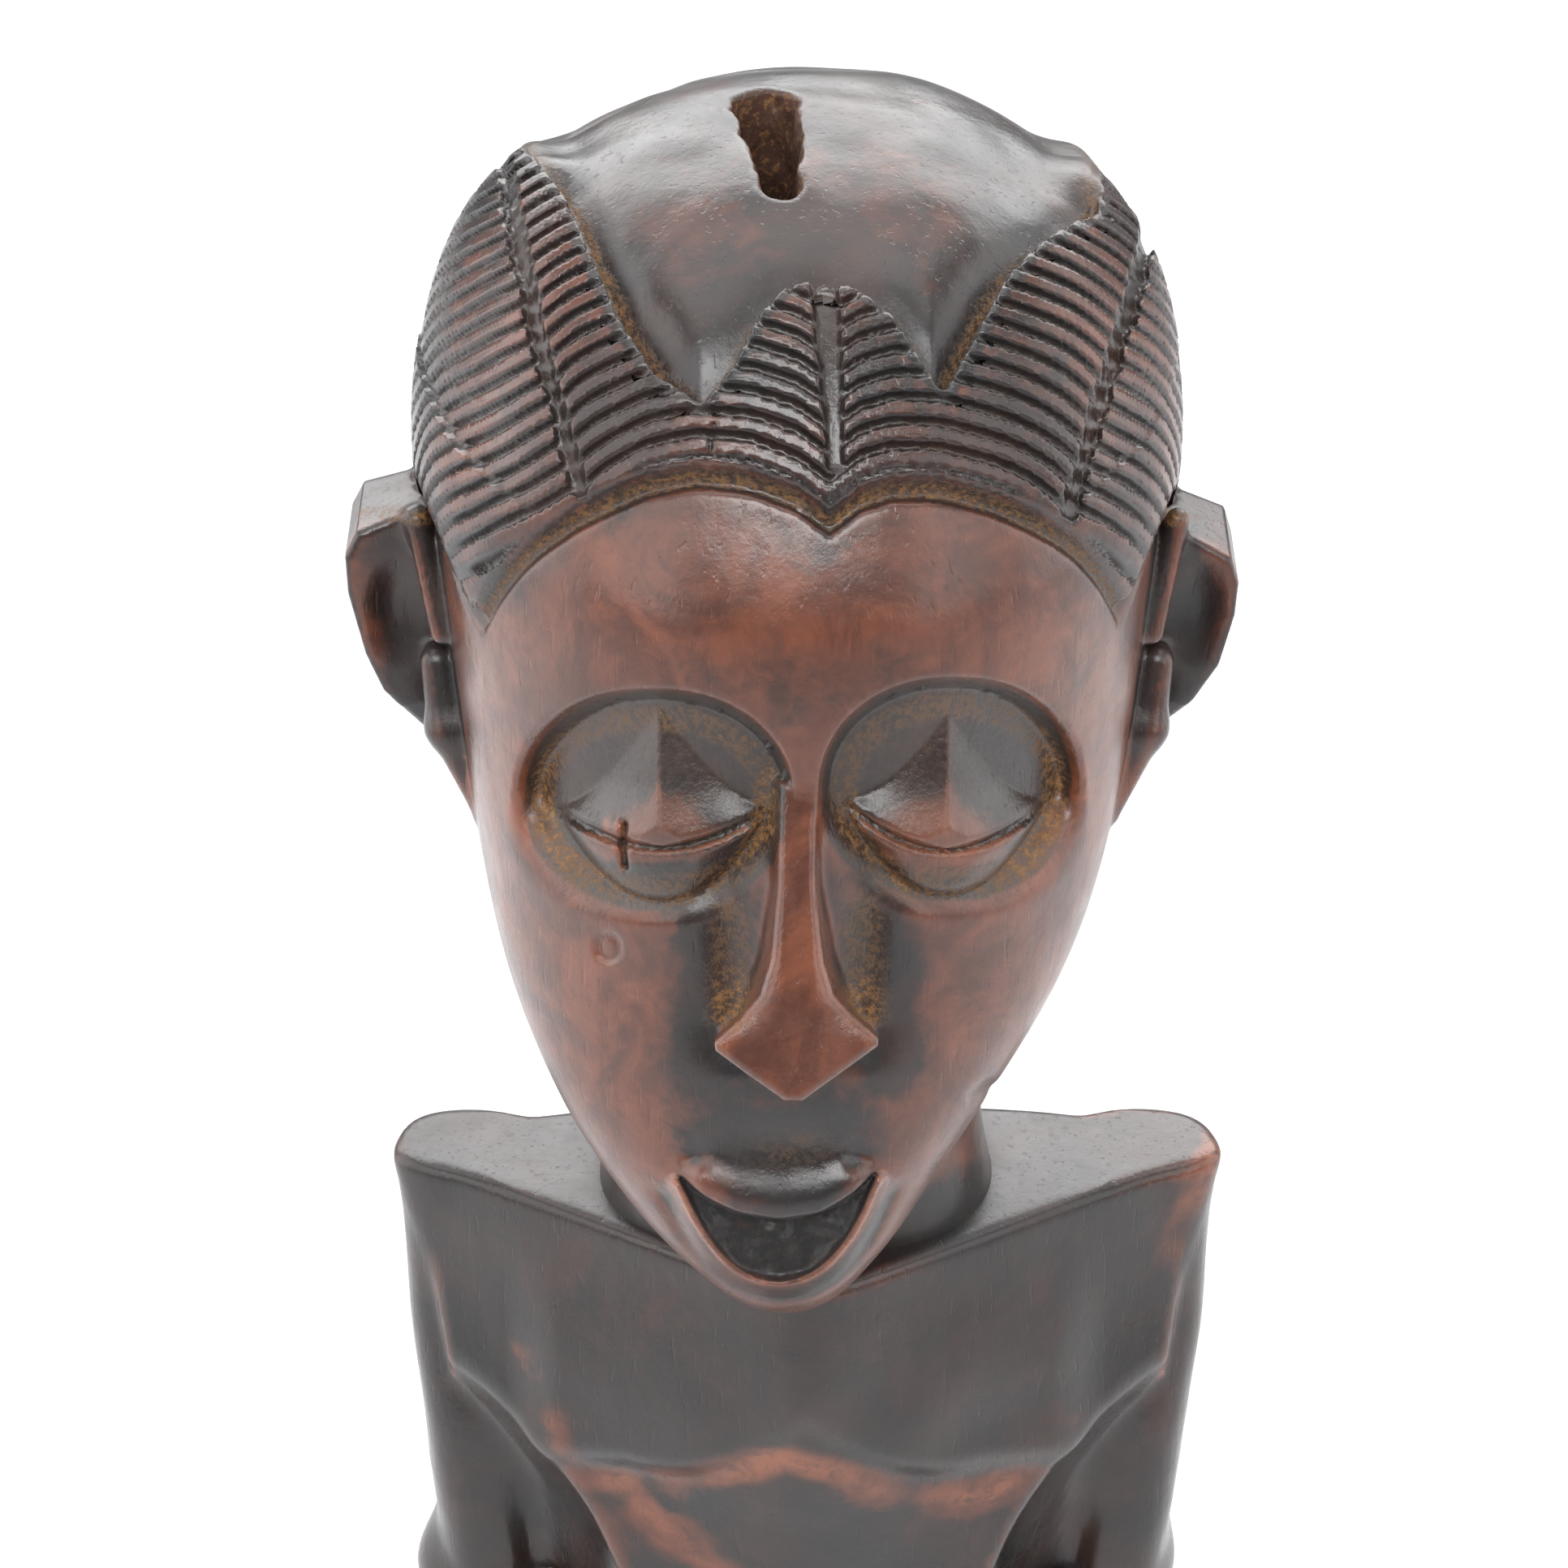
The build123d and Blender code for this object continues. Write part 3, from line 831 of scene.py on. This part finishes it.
def dust_at(P):
    """Where ochre dust has settled: under the hair's edge, round the cap, round the eyes, by the nose."""
    x, y, z = P.T
    v = up_face(P)
    hair, outside = above_hairline(P), outside_cap(P)
    front = step(10, 0, y)
    _, carved = coiffure_relief(P)
    beside_nose = hill(np.abs(x) - 6.0, 2.6) * step(-23.5, -21, v) * step(-5, -13, v)
    layers = [0.42 * carved * ((hair > 0.3) & (outside > 0)),
              1.0 * hill(hair + 0.5, 0.65) * front * (z > EYE_LEVEL - 4),
              0.70 * hill(outside + 0.5, 1.3) * (hair > 2),
              0.95 * beside_nose * front,
              0.6 * hill(x + 0.5, 8.0) * hill(v + 33.5, 3.6) * front]
    for eye in EYES:
        rim = socket_distance(x, v, eye)
        ring = np.maximum(hill(rim + 2.3, 1.7), 0.8 * hill(rim + 1.5, 1.8) * step(-3, -8, v))
        layers.append(np.maximum(0.95 * ring, 0.45 * step(0, -2, rim)) * (y < 0))
    return strongest(layers)


def dark_at(P):
    """Where the colour is black: black patina on the temples, the carved lines and most of the body, and
    painted shade in the sockets, round the mouth, beside the nose and under the hair's edge.
    """
    x, y, z = P.T
    v = up_face(P)
    hair, outside = above_hairline(P), outside_cap(P)
    _, carved = coiffure_relief(P)
    face = (y < -5) & (z < CROWN - 20)
    ears = (np.abs(x) > 31) & (z > EYE_LEVEL - 26) & (z < EYE_LEVEL + 14)
    layers = [0.85 * step(SHOULDER + 12, SHOULDER - 2, z),
              0.60 * step(-9, 6, y),
              (0.45 + 0.4 * hill(outside + 1, 3.0)) * (outside < 1.5),
              (0.42 + 0.5 * carved) * (hair > 0.2) * (outside > 0),
              0.60 * ears * step(-9, -4, y),
              # Painted shadow in a band under the hair's edge.
              0.35 * hill(hair + 1.0, 3.2) * (y < 0),
              # Painted shade round the mouth.
              0.85 * hill(np.hypot(x + 1.2, (v + 36) * 0.75), 9.5) * face,
              # Painted shade beside the nose.
              0.7 * hill(np.abs(x) - 8.0, 4.2) * step(-33, -24, v) * step(-2, -14, v) * face]
    for eye in EYES:
        # Painted shade in the eye socket, taken off the lid.
        rim = socket_distance(x, v, eye)
        lid = hill((x - eye[4]) / 6.0, 1.0) * hill((v - eye[6] + 10) / 3.4, 1.0)
        layers.append((0.80 * step(0.4, -1.2, rim) - 0.60 * lid) * face)
    return strongest(layers)


# The crests that hands have rubbed, whose worn colour is partly a painted highlight: (distance right of the
# body's middle, height).
CHEST_WEAR_AND_HIGHLIGHT = [(-25, 210), (-20, 207.5), (-14, 209.5), (-7, 214), (-2, 217), (3, 214), (9, 209.5),
                (17, 206.5), (23, 208)]
BELLY_WEAR_AND_HIGHLIGHT = [(-18, 206), (-9, 199), (-1, 191), (3, 182), (1, 172)]
LEFT_SHOULDER_WEAR_AND_HIGHLIGHT = [(-31, 224), (-26, 215), (-22, 208)]
RIGHT_SHOULDER_WEAR_AND_HIGHLIGHT = [(22, 208), (33, 222), (41, 238)]
# Each crest with its share and its width.
CRESTS_WEAR_AND_HIGHLIGHT = [(CHEST_WEAR_AND_HIGHLIGHT, 1.0, 2.4), (BELLY_WEAR_AND_HIGHLIGHT, 0.75, 3.2), (LEFT_SHOULDER_WEAR_AND_HIGHLIGHT, 0.55, 2.6),
                 (RIGHT_SHOULDER_WEAR_AND_HIGHLIGHT, 0.55, 2.6)]


def wear_and_highlight_at(P, wear):
    """Where handling has worn the patina through, on the edges and the chest's crests. The same colour is
    also a painted highlight, partly along those crests and also on the nose's tip and the lids.
    """
    x, y, z = P.T
    v = up_face(P)
    in_hair = (above_hairline(P) > 0.1) & (z > EYE_LEVEL - 20)
    in_ear = (np.abs(x) > 31) & (z > EYE_LEVEL - 26) & (y > -9)
    by_socket = hill(crown_socket(P), 3.0) > 0.3
    rubbed = wear * np.where(in_hair, 0.12, np.where(in_ear, 0.35, 1.0)) * np.where(by_socket, 0.3, 1.0)
    chest = step(4, -4, y - 0.5 * np.clip(np.abs(x) - 20, 0, None)) * (z < SHOULDER) * (z > 150)
    # Worn colour along the crests, partly a painted highlight.
    crest = np.zeros(len(P))
    for line, share, width in CRESTS_WEAR_AND_HIGHLIGHT:
        crest = np.maximum(crest, share * hill(line_distance(body_x(P), z, line), width))
    crest = crest * (0.62 + 0.55 * noise(P, 3.6, 61))
    # Painted highlights on the nose's tip and the lids.
    nose_tip = 0.40 * hill(np.hypot(x + 0.3, v + 23.0), 4.5) * (y < -30)
    lids = 0.30 * np.maximum(hill(x + 15, 4.5), hill(x - 12.5, 4.5)) * hill(v + 5.0, 3.0) * (y < -20)
    return np.clip(rubbed + 0.75 * crest * chest + nose_tip + lids, 0, 1)


def hollow_at(points):
    """Inside the crown socket and the open mouth, where the wood is raw and fibrous."""
    inside_socket = step(0.4, -0.1, crown_socket(points)) * (points[:, 2] > 330)
    inside_mouth = step(0.35, -0.05, mouth_hollow(points)) * (points[:, 1] < -20)
    return inside_socket, inside_mouth


# ---- regions
THROAT = 268.0             # above it the neck belongs to the face
ARMPIT = 200.0             # above it an upright cut parts the torso from the arms
SHOULDER_CUT = 30.5        # how far that cut is from the body's middle


def region_names(P, on_head):
    """Names the CAD node that each point of the surface belongs to."""
    parts = figure_parts(P)
    for name, distance in parts.items():
        distance[on_head != (name in HEAD_PARTS)] = 1e3
    order = list(parts)
    nearest = np.argmin(np.stack([parts[name] for name in order]), 0)
    names = np.array(order, object)[nearest]
    z = P[:, 2]
    side = np.where(P[:, 0] < 0, "left", "right").astype(object)
    head = (names == "head") | ((names == "neck") & (z > THROAT))
    names[head] = "face"
    names[head & (above_hairline(P) > 0.15)] = "coiffure"
    names[(z > CAP_LOW) & (outside_cap(P) < 0.2)] = "crown_cap"
    shoulder = (z > ARMPIT) & np.isin(names, ["trunk", "left_upper_arm", "right_upper_arm"])
    outer = np.abs(body_x(P)) > SHOULDER_CUT
    names[shoulder & ~outer] = "trunk"
    names[shoulder & outer] = side[shoulder & outer] + "_upper_arm"
    names[(names == "trunk") & (z < WAIST)] = "hips"
    names[names == "trunk"] = "torso"
    arm = np.isin(names, ["left_upper_arm", "right_upper_arm", "left_forearm", "right_forearm"])
    names[arm & (z >= ELBOW)] = side[arm & (z >= ELBOW)] + "_upper_arm"
    names[arm & (z < ELBOW)] = side[arm & (z < ELBOW)] + "_forearm"
    return names


CLOSING_DEPTH = 1.6        # how far under the surface the crooked edges are closed


def open_edges(quads, count):
    """The directed edges that only one quad has."""
    edges = np.stack([quads, np.roll(quads, -1, 1)], -1).reshape(-1, 2)
    return edges[~np.isin(edges @ (count, 1), edges @ (1, count))]


def close_edges(points, normals, quads, core):
    """The extra points, quads and triangles that close a piece's open edges.

    The faces run in from each edge to a core, which is a few points inside the piece. Without a core
    they meet at the middle of the edge.
    """
    inner, four_sided, three_sided = [], [], []

    def add(new):
        inner.extend(new)
        return np.arange(len(new)) + len(points) + len(inner) - len(new)

    for loop in ring_up(open_edges(quads, len(points))):
        loop = np.array(loop)
        edge = points[loop]
        ends = edge.mean(0)[None]
        if core is not None:
            ends = np.array(core, float)
            edge = edge - CLOSING_DEPTH * normals[loop]
            ring = add(edge)
            four_sided.append(np.stack([np.roll(loop, -1), loop, ring, np.roll(ring, -1)], 1))
            loop = ring
        end = add(ends)[np.argmin(np.linalg.norm(edge[:, None] - ends[None], axis=2), 1)]
        after, end_after = np.roll(loop, -1), np.roll(end, -1)
        same = end == end_after
        three_sided.append(np.stack([after, loop, end], 1)[same])
        four_sided.append(np.stack([after, loop, end, end_after], 1)[~same])
    return inner, four_sided, three_sided


def make_piece(name, points, normals, quads, fields, material, core=None):
    """One region of the surface as its own closed mesh, standing for its CAD node."""
    used, flat = np.unique(quads, return_inverse=True)
    quads = flat.reshape(-1, 4)
    points, normals = points[used], normals[used]
    inner, four_sided, three_sided = close_edges(points, normals, quads, core)
    points = np.concatenate([points, np.reshape(inner, (-1, 3))])
    normals = np.concatenate([normals, np.tile([0.0, 0.0, 1.0], (len(inner), 1))])
    quads = np.concatenate([quads, *four_sided])
    triangles = np.concatenate([np.empty((0, 3), int), *three_sided])
    mesh = bpy.data.meshes.new(name)
    mesh.vertices.add(len(points))
    mesh.vertices.foreach_set("co", (points * MM).astype(np.float32).ravel())
    corners = np.concatenate([quads.ravel(), triangles.ravel()]).astype(np.int32)
    totals = np.repeat([4, 3], [len(quads), len(triangles)]).astype(np.int32)
    starts = np.concatenate([[0], np.cumsum(totals)[:-1]]).astype(np.int32)
    mesh.loops.add(len(corners))
    mesh.loops.foreach_set("vertex_index", corners)
    mesh.polygons.add(len(totals))
    mesh.polygons.foreach_set("loop_start", starts)
    mesh.polygons.foreach_set("loop_total", totals)
    mesh.update(calc_edges=True)
    mesh.shade_smooth()
    for key, value in fields.items():
        layer = mesh.attributes.new(key, "FLOAT", "POINT")
        layer.data.foreach_set("value", np.concatenate([value[used], np.ones(len(inner))]).astype(np.float32))
    mesh.normals_split_custom_set_from_vertices(normals.astype(np.float32))
    mesh.materials.append(material)
    piece = bpy.data.objects.new("carved_" + name, mesh)
    bpy.context.collection.objects.link(piece)
    return piece


def ring_up(edges):
    """Chains directed edges into closed rings."""
    following = {}
    for a, b in edges.tolist():
        following.setdefault(a, []).append(b)
    loops = []
    while following:
        start = next(iter(following))
        loop, here = [start], start
        while here in following:
            there = following[here].pop()
            if not following[here]:
                del following[here]
            if there == start:
                break
            loop.append(there)
            here = there
        loops.append(loop)
    return loops


# ---- materials
class Nodes:
    """Short ways to build a material's node tree."""

    def __init__(self, name):
        self.material = bpy.data.materials.new(name)
        self.material.use_nodes = True
        self.tree = self.material.node_tree
        self.tree.nodes.clear()
        self.place = self.add("ShaderNodeTexCoord").outputs["Object"]

    def add(self, kind, **settings):
        node = self.tree.nodes.new(kind)
        for key, value in settings.items():
            setattr(node, key, value)
        return node

    def feed(self, socket, value):
        if isinstance(value, bpy.types.NodeSocket):
            self.tree.links.new(value, socket)
        else:
            socket.default_value = value

    def field(self, name):
        return self.add("ShaderNodeAttribute", attribute_name=name).outputs["Fac"]

    def math(self, kind, a, b=0.0, c=0.0):
        node = self.add("ShaderNodeMath", operation=kind)
        for socket, value in zip(node.inputs, (a, b, c)):
            self.feed(socket, value)
        return node.outputs[0]

    def ramp(self, value, low, high, out_low=0.0, out_high=1.0):
        node = self.add("ShaderNodeMapRange", interpolation_type="SMOOTHSTEP")
        for key, v in zip(("Value", "From Min", "From Max", "To Min", "To Max"),
                          (value, low, high, out_low, out_high)):
            self.feed(node.inputs[key], v)
        return node.outputs[0]

    def noise(self, scale, detail=4.0, rough=0.55, stretch=(1, 1, 1), shift=(0, 0, 0), distortion=0.0):
        move = self.add("ShaderNodeMapping")
        self.feed(move.inputs["Vector"], self.place)
        move.inputs["Scale"].default_value = stretch
        move.inputs["Location"].default_value = shift
        node = self.add("ShaderNodeTexNoise")
        self.feed(node.inputs["Vector"], move.outputs[0])
        node.inputs["Scale"].default_value = scale
        node.inputs["Detail"].default_value = detail
        node.inputs["Roughness"].default_value = rough
        node.inputs["Distortion"].default_value = distortion
        return node.outputs["Fac"]

    def total(self, *terms):
        """Adds up values, each given alone or with its weight."""
        result = None
        for term in terms:
            value = self.math("MULTIPLY", *term) if isinstance(term, tuple) else term
            result = value if result is None else self.math("ADD", result, value)
        return result

    def mix(self, factor, a, b):
        """Colour a where the factor is 0 and colour b where it is 1."""
        node = self.add("ShaderNodeMix", data_type="RGBA")
        self.feed(node.inputs["Factor"], factor)
        for socket, value in ((node.inputs[6], a), (node.inputs[7], b)):
            self.feed(socket, value if isinstance(value, bpy.types.NodeSocket) else (*value, 1.0))
        return node.outputs[2]

    def shader(self, color, roughness, height=None, bump=1.0):
        """The surface itself, with relief from a height where one is given."""
        shader = self.add("ShaderNodeBsdfPrincipled")
        self.feed(shader.inputs["Base Color"], color)
        self.feed(shader.inputs["Roughness"], roughness)
        if height is not None:
            relief = self.add("ShaderNodeBump")
            relief.inputs["Strength"].default_value = bump
            relief.inputs["Distance"].default_value = BUMP_HEIGHT
            self.feed(relief.inputs["Height"], height)
            self.feed(shader.inputs["Normal"], relief.outputs[0])
        self.feed(self.add("ShaderNodeOutputMaterial").inputs["Surface"], shader.outputs[0])
        return shader


BUMP_HEIGHT = 0.0004
RED_WOOD = (0.156, 0.049, 0.025)
DEEP_WOOD = (0.060, 0.019, 0.011)
BLACK_PATINA_AND_PAINTED_SHADE = (0.0085, 0.0080, 0.0085)
WORN_WOOD_AND_HIGHLIGHT = (0.26, 0.086, 0.040)
DUST = (0.24, 0.115, 0.036)
GREY_DUST = (0.075, 0.052, 0.034)
RAW_WOOD = (0.050, 0.026, 0.014)


def wood_color(n, cloud, blotch, ragged, speck, fine):
    """Red-brown wood. It is black where handling left its dirt, and black as painted shade in the hollows and
    round the face's features. It is orange on the worn edges and as painted highlights, with dust in the
    hollows.
    """
    cavity, wear, dust = n.field("cavity"), n.field("wear"), n.field("dust")
    grain = n.noise(620, 4, 0.6, stretch=(1, 1, 0.10), shift=(1, 2, 3))
    color = n.mix(n.ramp(blotch, 0.35, 0.68), DEEP_WOOD, RED_WOOD)
    color = n.mix(n.ramp(grain, 0.45, 0.75, 0.0, 0.35), color, DEEP_WOOD)
    # The black mix is patina. It is also painted shade where the cavity field and the dark field's face
    # layers darken the hollows.
    grime_and_painted_shade = n.total((cloud, 0.9), (blotch, 0.55), (ragged, 0.30), (n.field("dark"), 0.62), (cavity, 0.60),
                    (wear, -0.95))
    worn_thin = n.ramp(n.noise(75, 5, 0.65, shift=(6, 2, 9)), 0.35, 0.65, 0.84, 0.98)
    color = n.mix(n.math("MULTIPLY", n.ramp(grime_and_painted_shade, 0.96, 1.22), worn_thin), color, BLACK_PATINA_AND_PAINTED_SHADE)
    # The worn orange is real wear on the edges and painted highlight on the crests, the nose's tip and the
    # lids.
    rub_and_highlight = n.math("MULTIPLY", n.ramp(wear, 0.22, 0.80), n.ramp(ragged, 0.38, 0.60, 0.15, 1.0))
    color = n.mix(n.math("MULTIPLY", rub_and_highlight, 0.70), color, WORN_WOOD_AND_HIGHLIGHT)
    powder = n.math("MULTIPLY", n.ramp(speck, 0.38, 0.64, 0.15, 1.0), n.ramp(cavity, 0.12, 0.5, 0.35, 1.0))
    laid = n.math("MULTIPLY", n.ramp(dust, 0.15, 0.85), powder)
    grit = n.mix(n.ramp(dust, 0.3, 0.8), GREY_DUST, DUST)
    color = n.mix(n.math("MULTIPLY", laid, 0.85), color, grit)
    raw = n.mix(n.ramp(fine, 0.35, 0.7), DEEP_WOOD, RAW_WOOD)
    raw = n.mix(n.ramp(speck, 0.48, 0.72, 0.0, 0.8), raw, DUST)
    color = n.mix(n.field("socket"), color, raw)
    # Inside the mouth the colour is black, partly painted shade, flecked with raw wood.
    pit = n.mix(n.ramp(speck, 0.45, 0.72, 0.0, 0.5), BLACK_PATINA_AND_PAINTED_SHADE, RAW_WOOD)
    return n.mix(n.field("mouth"), color, pit), laid


def make_wood():
    """Oiled and waxed hardwood."""
    n = Nodes("old_hardwood")
    cloud = n.noise(46, 5, 0.6, shift=(3, 1, 7))
    blotch = n.noise(120, 6, 0.66, shift=(11, 5, 2), distortion=0.6)
    ragged = n.noise(420, 5, 0.7, shift=(7, 8, 1), distortion=0.8)
    speck = n.noise(1500, 3, 0.7)
    fine = n.noise(2600, 2, 0.6)
    color, laid = wood_color(n, cloud, blotch, ragged, speck, fine)

    matt = n.math("MAXIMUM", n.math("MAXIMUM", laid, n.field("socket")), n.field("mouth"))
    waxed = n.ramp(n.noise(60, 4, 0.6, shift=(5, 9, 1)), 0.3, 0.7, 0.20, 0.38)
    waxed = n.total(waxed, (n.field("cavity"), 0.25), (n.ramp(ragged, 0.4, 0.7), 0.07))
    rough = n.math("MAXIMUM", waxed, n.ramp(matt, 0.0, 0.6, 0.20, 0.88))

    pores = n.noise(1500, 2, 0.5, stretch=(1, 1, 0.16), shift=(4, 4, 4))
    tooling = n.noise(130, 4, 0.55, stretch=(1, 1, 0.6), shift=(2, 6, 8))
    height = n.total((tooling, 1.3), (n.ramp(pores, 0.60, 0.75), -0.16), (fine, 0.10), (ragged, 0.16),
                     n.math("MULTIPLY", speck, matt))

    shader = n.shader(color, rough, height, 0.6)
    shader.inputs["IOR"].default_value = 1.46
    shader.inputs["Coat Weight"].default_value = 0.45
    shader.inputs["Coat Roughness"].default_value = 0.28
    return n.material


def make_fibre():
    """Matted plant fibre and dust."""
    n = Nodes("matted_fibre")
    streak = n.noise(1400, 4, 0.7)
    color = n.mix(n.ramp(streak, 0.35, 0.7), (0.030, 0.017, 0.010), (0.17, 0.10, 0.05))
    n.shader(color, n.ramp(streak, 0.3, 0.7, 0.85, 1.0), streak)
    return n.material


def make_plain(name, color, roughness):
    """One even colour."""
    n = Nodes(name)
    n.shader((*color, 1.0), roughness)
    return n.material


# ---- build the figure
wood = make_wood()
points, quads, on_head = make_surface()
normals = vertex_normals(points, quads)
cavity, wear = openness(points, normals)
in_socket, in_mouth = hollow_at(points)
# The cavity field and the dark field's face layers become painted shade in the wood's colour, and the wear
# field also holds painted highlights.
fields = {"cavity": cavity, "wear": wear_and_highlight_at(points, wear), "dust": dust_at(points), "dark": dark_at(points),
          "socket": in_socket, "mouth": in_mouth}
quad_region = region_names(points[quads].mean(1), on_head[quads[:, 0]])

WOOD_NODES = ["base", "left_foot", "right_foot", "left_leg", "right_leg", "hips", "torso", "neck", "face",
              "left_upper_arm", "right_upper_arm", "left_forearm", "right_forearm", "left_ear", "right_ear",
              "coiffure", "crown_cap"]
# Lines inside the pieces whose open edges are too crooked to close with a flat cap.
CORES = {"crown_cap": [(0, 6, HEAD_MIDDLE)], "coiffure": [(0, 6, HEAD_MIDDLE)],
         "torso": np.linspace((0, 3, WAIST + 0.5), (0, 3, SHOULDER - 3), 40),
         "hips": np.linspace((0, 6, HIP + 6), (0, 3, WAIST - 0.5), 30),
         "left_upper_arm": np.linspace((-33.2, 9, ELBOW), (-33.6, 9.5, SHOULDER - 3), 30),
         "right_upper_arm": np.linspace((35.2, 9, ELBOW), (35.6, 9.5, SHOULDER - 3), 30),
         "left_forearm": np.linspace((-33.5, 9, ELBOW - 0.5), (-21.2, -11.5, 153), 20),
         "right_forearm": np.linspace((34.9, 9, ELBOW - 0.5), (21.2, -11.5, 153), 20)}
for node in WOOD_NODES:
    piece = make_piece(node, points, normals, quads[quad_region == node], fields, wood, CORES.get(node))
    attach(piece, "root")
    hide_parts(node)


# ---- residue in the socket
def add_lump(vertices, faces, rng, center, radius, rings=7, around=14):
    """A rough ball of matted fibre."""
    first = len(vertices)
    for i in range(rings + 1):
        a = math.pi * i / rings
        for j in range(around):
            b = 2 * math.pi * j / around
            r = radius * (1 + 0.25 * rng.uniform(-1, 1) * math.sin(a))
            vertices.append((center[0] + r[0] * math.sin(a) * math.cos(b),
                             center[1] + r[1] * math.sin(a) * math.sin(b),
                             center[2] + r[2] * math.cos(a)))
    add_tube_faces(faces, first, rings, around, (0, 2, 3, 1))


def add_strand(vertices, faces, rng, start, heading, length, radius):
    """A stray fibre that bends as it runs, square in section and closed at both ends."""
    first, bend = len(vertices), rng.normal(0, 0.45, 3)
    here = np.array(start, float)
    for i in range(6):
        across = np.cross(heading, (0.3, 0.5, 1.0))
        across /= np.linalg.norm(across)
        up = np.cross(heading, across)
        size = radius * (1 - 0.13 * i)
        for j in range(4):
            a = math.pi * j / 2
            vertices.append(tuple(here + size * (math.cos(a) * across + math.sin(a) * up)))
        here = here + heading * length / 5
        heading = heading + bend * 0.3
        heading /= np.linalg.norm(heading)
    add_tube_faces(faces, first, 5, 4, (0, 1, 3, 2))
    faces.append((first + 3, first + 2, first + 1, first))
    faces.append((first + 20, first + 21, first + 22, first + 23))


def add_tube_faces(faces, first, rings, around, order):
    """Quads between rings of points; order picks each quad's corners: here, beside, next ring, both."""
    for i in range(rings):
        for j in range(around):
            here, beside = first + i * around + j, first + i * around + (j + 1) % around
            corners = (here, beside, here + around, beside + around)
            faces.append(tuple(corners[k] for k in order))


def make_residue():
    """A lump of matted fibre on the socket's floor, with stray fibres standing out of it."""
    rng = np.random.default_rng(7)
    vertices, faces = [], []
    run = SOCKET_FRONT - SOCKET_BACK
    for t in np.linspace(0, 1, 6):
        x, y = SOCKET_BACK + run * t
        size = np.array([2.9 - 1.3 * t, 2.9 - 1.0 * t, 1.6])
        add_lump(vertices, faces, rng, (x, y, RESIDUE_TOP + rng.uniform(-0.2, 0.5)), size)
    for _ in range(150):
        t = rng.uniform(0, 1)
        x, y = SOCKET_BACK + run * t + rng.normal(0, 0.8 - 0.4 * t, 2)
        lean = rng.normal(0, 0.7, 2)
        heading = np.array([lean[0], lean[1], rng.uniform(0.1, 1.0)])
        add_strand(vertices, faces, rng, (x, y, RESIDUE_TOP + 0.6), heading / np.linalg.norm(heading),
                   rng.uniform(1.2, 3.4), rng.uniform(0.05, 0.11))
    mesh = bpy.data.meshes.new("residue")
    mesh.from_pydata([tuple(MM * c for c in v) for v in vertices], [], faces)
    mesh.shade_smooth()
    mesh.materials.append(make_fibre())
    piece = bpy.data.objects.new("matted_residue", mesh)
    bpy.context.collection.objects.link(piece)
    return piece


residue = make_residue()
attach(residue, "root")
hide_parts("socket_residue")


# ---- floor, light and camera
FLOOR_REACH = 4.0
FLOOR_COLOR = (0.62, 0.62, 0.63)


def make_floor():
    """A plain pale floor under the base."""
    r = FLOOR_REACH
    mesh = bpy.data.meshes.new("floor")
    mesh.from_pydata([(-r, -r, 0), (r, -r, 0), (r, r, 0), (-r, r, 0)], [], [(0, 1, 2, 3)])
    mesh.materials.append(make_plain("pale_floor", FLOOR_COLOR, 0.9))
    floor = bpy.data.objects.new("floor", mesh)
    bpy.context.collection.objects.link(floor)


def softbox(name, place, target, width, height, brightness):
    """A soft panel; its brightness is what a viewer would see, whatever its size."""
    data = bpy.data.lights.new(name, "AREA")
    data.shape = "RECTANGLE"
    data.size, data.size_y = width, height
    data.energy = brightness * math.pi * width * height
    lamp = bpy.data.objects.new(name, data)
    lamp.location = place
    lamp.visible_camera = False
    lamp.rotation_mode = "QUATERNION"
    lamp.rotation_quaternion = (Vector(target) - Vector(place)).to_track_quat("-Z", "Y")
    bpy.context.collection.objects.link(lamp)


def make_world(strength):
    """A faint cool light from every side."""
    world = bpy.data.worlds.new("studio")
    world.use_nodes = True
    world.node_tree.nodes["Background"].inputs["Color"].default_value = (0.97, 0.985, 1.0, 1.0)
    world.node_tree.nodes["Background"].inputs["Strength"].default_value = strength
    bpy.context.scene.world = world


CAMERA_ELEVATION = math.radians(33)
CAMERA_DISTANCE = 0.450
CAMERA_LENS = 116.9
CAMERA_TARGET = Vector((-1.2, -30, EYE_LEVEL)) * MM


def make_camera():
    """A long lens that looks down at the face."""
    data = bpy.data.cameras.new("camera")
    data.sensor_width = 36.0
    data.lens = CAMERA_LENS
    camera = bpy.data.objects.new("camera", data)
    away = Vector((0, -math.cos(CAMERA_ELEVATION), math.sin(CAMERA_ELEVATION)))
    camera.location = CAMERA_TARGET + away * CAMERA_DISTANCE
    camera.rotation_mode = "QUATERNION"
    camera.rotation_quaternion = (-away).to_track_quat("-Z", "Y")
    data.clip_start = 0.02
    bpy.context.collection.objects.link(camera)
    bpy.context.scene.camera = camera


# Each soft panel's place, width, height and brightness.
SOFTBOXES = {
    "overhead": ((0.0, 0.05, 1.15), 1.2, 0.7, 2.3),
    "backdrop": ((0.0, 1.05, 0.98), 2.4, 0.9, 4.2),
    "front_above": ((-0.05, -0.72, 0.95), 0.8, 0.4, 9.0),
    "left_side": ((-0.85, 0.10, 0.50), 0.8, 0.9, 2.6),
    "right_side": ((0.85, 0.10, 0.50), 0.8, 0.9, 1.9),
    "left_front": ((-0.75, -0.60, 0.60), 0.5, 0.8, 2.3),
    "right_front": ((0.75, -0.60, 0.60), 0.5, 0.8, 2.0),
}

make_floor()
make_camera()
make_world(0.26)
for name, (place, width, height, brightness) in SOFTBOXES.items():
    softbox(name, place, (0.0, 0.0, EYE_LEVEL * MM), width, height, brightness)
bpy.context.scene.view_settings.view_transform = "Standard"
